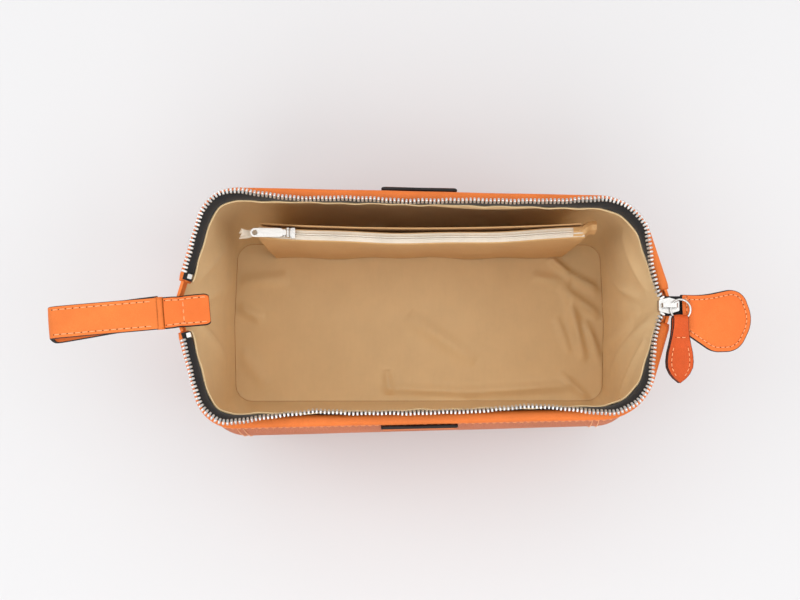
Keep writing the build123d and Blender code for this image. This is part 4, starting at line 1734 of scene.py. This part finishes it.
@dataclass
class Pocket:
    """The inner pocket: two sheets, a cream coil zip along their top, and its frayed end."""

    finishes: Finishes
    half_length: float = 0.103
    zip_y: float = 0.04915
    zip_z: float = 0.1044
    low: float = 0.0052
    points: int = 150

    def run(self) -> np.ndarray:
        """The places along the zip, from its left end to its right end."""
        return np.linspace(-1.0, 1.0, self.points) * self.half_length

    def sag(self, x: np.ndarray) -> np.ndarray:
        """How far the zip stands off its straight line: a parabola, level with it where the slider rests."""
        share = 1 - (x / self.half_length) ** 2
        return 0.0013 - 0.0040 * share + 0.0003 * np.sin(x * 95)

    def rail(self, y: float, z: float) -> np.ndarray:
        """A line along the zip at an offset from its middle.

        Args:
            y: How far across the zip.
            z: How high above it.

        Returns:
            N by 3 points.
        """
        x = self.run()
        dip = -0.0012 * (1 - (x / self.half_length) ** 2)
        return np.stack([x, self.zip_y + self.sag(x) + y, self.zip_z + z + dip], -1)

    def level(self, x: np.ndarray, y: np.ndarray | float, z: float) -> np.ndarray:
        """A line at one height over places along the zip."""
        return np.stack([x, np.broadcast_to(y, len(x)), np.full(len(x), z)], -1)

    def sheet(
        self, name: str, rows: list[np.ndarray], finish: Material, held: str
    ) -> Object:
        """A cloth sheet through rails, with ten rows filled in from each to the next, in straight lines.

        Args:
            name: The object's name.
            rows: The rails, from the top down.
            finish: The cloth.
            held: How the sheet is held; not used.

        Returns:
            The sheet.
        """
        stack, last, filled = np.stack(rows), len(rows) - 1, 10
        fine = np.linspace(0, last, last * filled + 1)
        low = np.minimum(fine.astype(int), last - 1)
        part = (fine - low)[:, None, None]
        points = stack[low] * (1 - part) + stack[low + 1] * part
        piece = grid_surface(name, points, finish)
        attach(piece, "bag")
        flat = mean_lengths(points)
        return piece

    def build(self) -> list[Object]:
        """Builds the sheets, tapes, coils and the tape's loose ends.

        Returns:
            The pieces.
        """
        made = [self.front(), self.back()]
        offsets = ((0.0026, 0.0003), (0.0036, 0.0001), (0.0040, -0.0020), (0.0036, -0.0120))
        hem = [self.rail(y, z) for y, z in offsets]
        made.append(self.sheet("pocket_zip_hem", hem, self.finishes.pocket, "hung"))
        for word, sign in (("front", -1), ("back", 1)):
            made += self.zip_side(word, sign)
        return made + [self.frayed_thread(k) for k in range(7)] + [self.end_fold()]

    def front(self) -> Object:
        """The front sheet: rolled over at the zip, and bellied out on its way down to the floor.

        Returns:
            The sheet.
        """
        x = self.run()
        ripple = 0.0005 * np.sin(x * 130) + 0.0004 * np.sin(x * 61 + 2)
        floor = self.level(x * 0.995, 0.0462 + ripple, self.low)
        belly = (self.rail(-0.0034, 0.0) + floor) / 2
        belly[:, 1] -= 0.0012 - 0.5 * ripple
        rolled = [self.rail(y, z) for y, z in ((-0.0026, 0.0003), (-0.0036, 0.0002), (-0.0040, -0.0016))]
        sheet = self.sheet("pocket_front_cloth", rolled + [belly, floor], self.finishes.pocket, "hung")
        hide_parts("pocket_front")
        return sheet

    def back(self) -> Object:
        """The back sheet: a rolled top edge, bowed towards the zip, over a flat drop to the floor.

        Returns:
            The sheet.
        """
        x = self.run()
        square = (x / self.half_length) ** 2
        top = self.level(x * 0.985, 0.0539 + 0.0016 * square - 0.0012 * (1 - square), 0.1040)
        offsets = ((0.0007, -0.0009), (0.0004, 0.0004), (-0.0002, 0.0001), (-0.0003, -0.0012))
        rows = [top + [0, y, z] for y, z in offsets] + [self.level(x * 0.985, 0.0528, self.low)]
        sheet = self.sheet("pocket_back_cloth", rows, self.finishes.pocket, "hung")
        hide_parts("pocket_back")
        return sheet

    def zip_side(self, word: str, sign: int) -> list[Object]:
        """One side of the zip.

        Args:
            word: What this side's pieces are named by.
            sign: The sign of its place across the zip.

        Returns:
            Its tape and its coil.
        """
        f = self.finishes
        rows = [self.rail(sign * y, z) for y, z in ((0.0005, 0.0006), (0.0018, 0.0007), (0.0030, 0.0005))]
        tape = self.sheet(f"pocket_{word}_tape_cloth", rows, f.cream_tape, "stretched")
        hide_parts(f"pocket_tape_{word}")
        ring = rounded_profile(0.0011, 0.0011, 0.0005, 4)
        points = carried(self.rail(sign * 0.00062, 0.0010), np.array([0, 1.0, 0]), UP, ring)
        coil = closed_surface(f"pocket_{word}_coil_row", points, f.coil)
        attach(coil, "bag")
        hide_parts(f"pocket_coil_{word}")
        return [tape, coil]

    def frayed_thread(self, k: int) -> Object:
        """One of the seven threads at the tape's left end, which spread and wave as they leave it.

        Args:
            k: Its number, from the front.

        Returns:
            The thread.
        """
        count, middle, spread = 26, 3, 0.0007
        t = np.linspace(0.0, 1.0, count)
        start = self.rail(0, 0)[0] + [0.002, -0.0008, 0.0010]
        end = start + np.array([-0.0135, -0.0012, 0.0030])
        line = start + (end - start) * t[:, None] + np.array([0, 0, 0.0012]) * np.sin(t * 9)[:, None]
        drift = (k - middle) * spread * (0.7 + 0.8 * t**2) + 0.0004 * np.sin(t * 7 + k)
        line = (line + np.array([0, 1.0, 0]) * drift[:, None])[: count - (k * 5) % 4]
        points = carried(line, np.array([0, 1.0, 0]), UP, rounded_profile(0.0010, 0.0006, 0.00025, 3))
        thread = closed_surface(f"frayed_thread_{k}", points, self.finishes.cream_tape)
        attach(thread, "bag")
        return thread

    def end_fold(self) -> Object:
        """The fold of cloth that hides the zip's right end.

        Returns:
            The sheet.
        """
        share = np.linspace(0.93, 1.075, 40)
        bend = smooth((share - 0.97) / 0.08)
        offsets = ((-0.0044, -0.006), (-0.0026, 0.0006), (0.0004, 0.0016), (0.0030, 0.0006), (0.0042, -0.008))
        rows = []
        for y, z in offsets:
            deep = self.zip_y + 0.0010 + y + bend * 0.0042
            high = self.zip_z + z + 0.0012 * np.sin(bend * 3) - 0.0015 * bend * abs(y) / 0.004
            rows.append(np.stack([share * self.half_length, deep, high], -1))
        return self.sheet("pocket_end_fold", rows, self.finishes.pocket, "folded")


def between(grid: np.ndarray, row: np.ndarray, column: np.ndarray) -> np.ndarray:
    """A grid's values at fractional rows and columns: the four nearest, weighted by how near each is.

    Args:
        grid: Rows by columns of values.
        row: The fractional rows.
        column: The fractional columns.

    Returns:
        A value for each.
    """
    r = np.clip(row.astype(int), 0, grid.shape[0] - 2)
    c = np.clip(column.astype(int), 0, grid.shape[1] - 2)
    down, along = row - r, column - c
    left = grid[r, c] * (1 - down) * (1 - along) + grid[r + 1, c] * down * (1 - along)
    return left + grid[r, c + 1] * (1 - down) * along + grid[r + 1, c + 1] * down * along


@dataclass
class Patch:
    """A leather square with painted edges, sewn to a wall just under the casing."""

    half: Half
    form: BodyForm
    finishes: Finishes
    middle: float = -0.002
    size: tuple[float, float] = (0.046, 0.020)
    top: float = 0.1385
    thickness: float = 0.0024
    casing_from: float = 0.1305

    def build(self) -> list[Object]:
        """Builds the patch over the wall's own curve.

        Returns:
            The patch.
        """
        wide, tall = self.size
        corners = np.array([[-1, 0], [-1, 1], [1, 1], [1, -1], [-1, -1], [-1, 0]]) * [wide / 2, tall / 2]
        outline = even(rounded_line(corners, [0.002] * 4, 8), 0.0008)[:-1]
        slab = Slab(outline + [self.middle, self.top - tall / 2], 0.0002, self.thickness, 0.0003)
        points, painted = slab.grid()
        x, z, off = points[..., 0], points[..., 1], points[..., 2]
        levels = np.linspace(z.min(), z.max(), 12)
        at_x = np.linspace(self.middle - wide / 2, self.middle + wide / 2, 30)
        wall = self.form.surface(LEATHER, np.minimum(levels, self.form.heights[2]))
        front = wall[:, : wall.shape[1] // 2 + 1]
        depth = np.stack([np.interp(at_x, row[:, 0], row[:, 1]) for row in front])
        m = self.form.mouth
        rail = m.left_reach + (m.right_reach - m.left_reach) * (at_x / m.side_half_length + 1) / 2 + 0.0038
        depth = np.where(levels[:, None] > self.casing_from, np.minimum(depth, -rail), depth)
        y = between(depth, (z - levels[0]) / (levels[1] - levels[0]), (x - at_x[0]) / (at_x[1] - at_x[0]))
        place = np.stack([x, (y - off) * -self.half.sign, z], -1)
        word, f = self.half.word, self.finishes
        piece = closed_surface(f"{word}_patch_leather", place, f.saddle, f.painted_edge, painted)
        bend_upper(piece)
        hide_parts(f"{word}_patch")
        return [piece]


@dataclass
class Studio:
    """The floor, the lamps, the world and the camera."""

    camera_place: tuple[float, float, float] = (-0.0136, -0.0549, 0.800)
    elevation: float = 84.9
    lens: float = 50.0

    def build(self) -> None:
        """Sets up everything that isn't the bag."""
        scene = bpy.context.scene
        camera = bpy.data.cameras.new("camera")
        camera.lens = self.lens
        camera.sensor_width = 36.0
        holder = bpy.data.objects.new("camera", camera)
        scene.collection.objects.link(holder)
        holder.location = self.camera_place
        holder.rotation_euler = (math.radians(90 - self.elevation), 0.0, 0.0)
        scene.camera = holder
        scene.view_settings.view_transform = "Standard"
        self.floor()
        self.lamps()

    def floor(self) -> None:
        """A pale floor that the camera sees as near white, and that keeps the bag's shadow."""
        t = np.linspace(-2.0, 2.0, 3)
        points = np.stack(np.meshgrid(t, t, indexing="xy") + [np.zeros((3, 3))], -1)
        made, n, shader = new_material("pale floor")
        shader.inputs["Base Color"].default_value = (0.67, 0.67, 0.675, 1)
        shader.inputs["Roughness"].default_value = 0.9
        ray = n.add("ShaderNodeLightPath")
        seen = n.mix(ray.outputs["Is Camera Ray"], (0, 0, 0, 1), (0.04, 0.04, 0.045, 1))
        n.join(seen, shader.inputs["Emission Color"])
        shader.inputs["Emission Strength"].default_value = 1.0
        grid_surface("floor", points, made)

    def lamps(self) -> None:
        """Four wide soft lamps round the bag, and a pale world that the shiny pieces see as darker below."""
        aim_at = np.array([0, 0, 0.08])
        for name, place, size, power in (
            ("back lamp", (0.05, 0.62, 1.45), 1.4, 6.6),
            ("front lamp", (-0.1, -0.95, 1.15), 1.0, 6.4),
            ("left lamp", (-1.0, 0.1, 0.95), 1.0, 4.6),
            ("right lamp", (1.0, -0.1, 0.95), 1.0, 4.5),
        ):
            lamp = bpy.data.lights.new(name, "AREA")
            lamp.size = size
            lamp.energy = power
            holder = bpy.data.objects.new(name, lamp)
            bpy.context.scene.collection.objects.link(holder)
            holder.location = place
            aim = aim_at - np.array(place)
            yaw = math.atan2(aim[1], aim[0]) - math.pi / 2
            pitch = math.atan2(math.hypot(aim[0], aim[1]), -aim[2])
            holder.rotation_euler = (pitch, 0.0, yaw)
        world = bpy.data.worlds.new("world")
        world.use_nodes = True
        bpy.context.scene.world = world
        n = Nodes(world.node_tree)
        back = world.node_tree.nodes["Background"]
        back.inputs["Color"].default_value = (1, 1, 1, 1)
        unseen, seen = 0.66, 0.93
        ray = n.add("ShaderNodeLightPath")
        way = n.add("ShaderNodeSeparateXYZ", {0: n.add("ShaderNodeTexCoord").outputs["Generated"]})
        upward = n.ramp(way.outputs["Z"], 0.0, 0.9, 0.12, 0.85)
        glossy = n.math("MULTIPLY", ray.outputs["Is Glossy Ray"], n.math("SUBTRACT", upward, unseen))
        plain = n.ramp(ray.outputs["Is Camera Ray"], 0.0, 1.0, unseen, seen)
        n.join(n.math("ADD", plain, glossy), back.inputs["Strength"])


def main() -> None:
    """Builds the bag piece by piece, then the studio."""
    finishes = Finishes()
    mouth = MouthLine()
    form = BodyForm(mouth)
    made = Body(form, finishes).build()
    for half in Half:
        made += MouthHalf(half, mouth, finishes).build() + Patch(half, form, finishes).build()
    made += WristStrap(finishes).build() + EndTab(finishes).build() + Pull(finishes).build()
    made += Pocket(finishes).build()
    plain = {
        "pocket_slider": finishes.plated, "pocket_puller": finishes.plated, "slider_body": finishes.plated,
        "slider_bridge": finishes.plated, "pull_ring": finishes.plated, "zip_tail": finishes.black_tape,
        "left_hem": finishes.saddle, "right_hem": finishes.saddle,
    }
    for node, finish in plain.items():
        dress_node(node, finish)
    for piece in made:
        log.info("%s: %d faces", piece.name, len(piece.data.polygons))
    Studio().build()


if __name__ == "__main__":
    main()
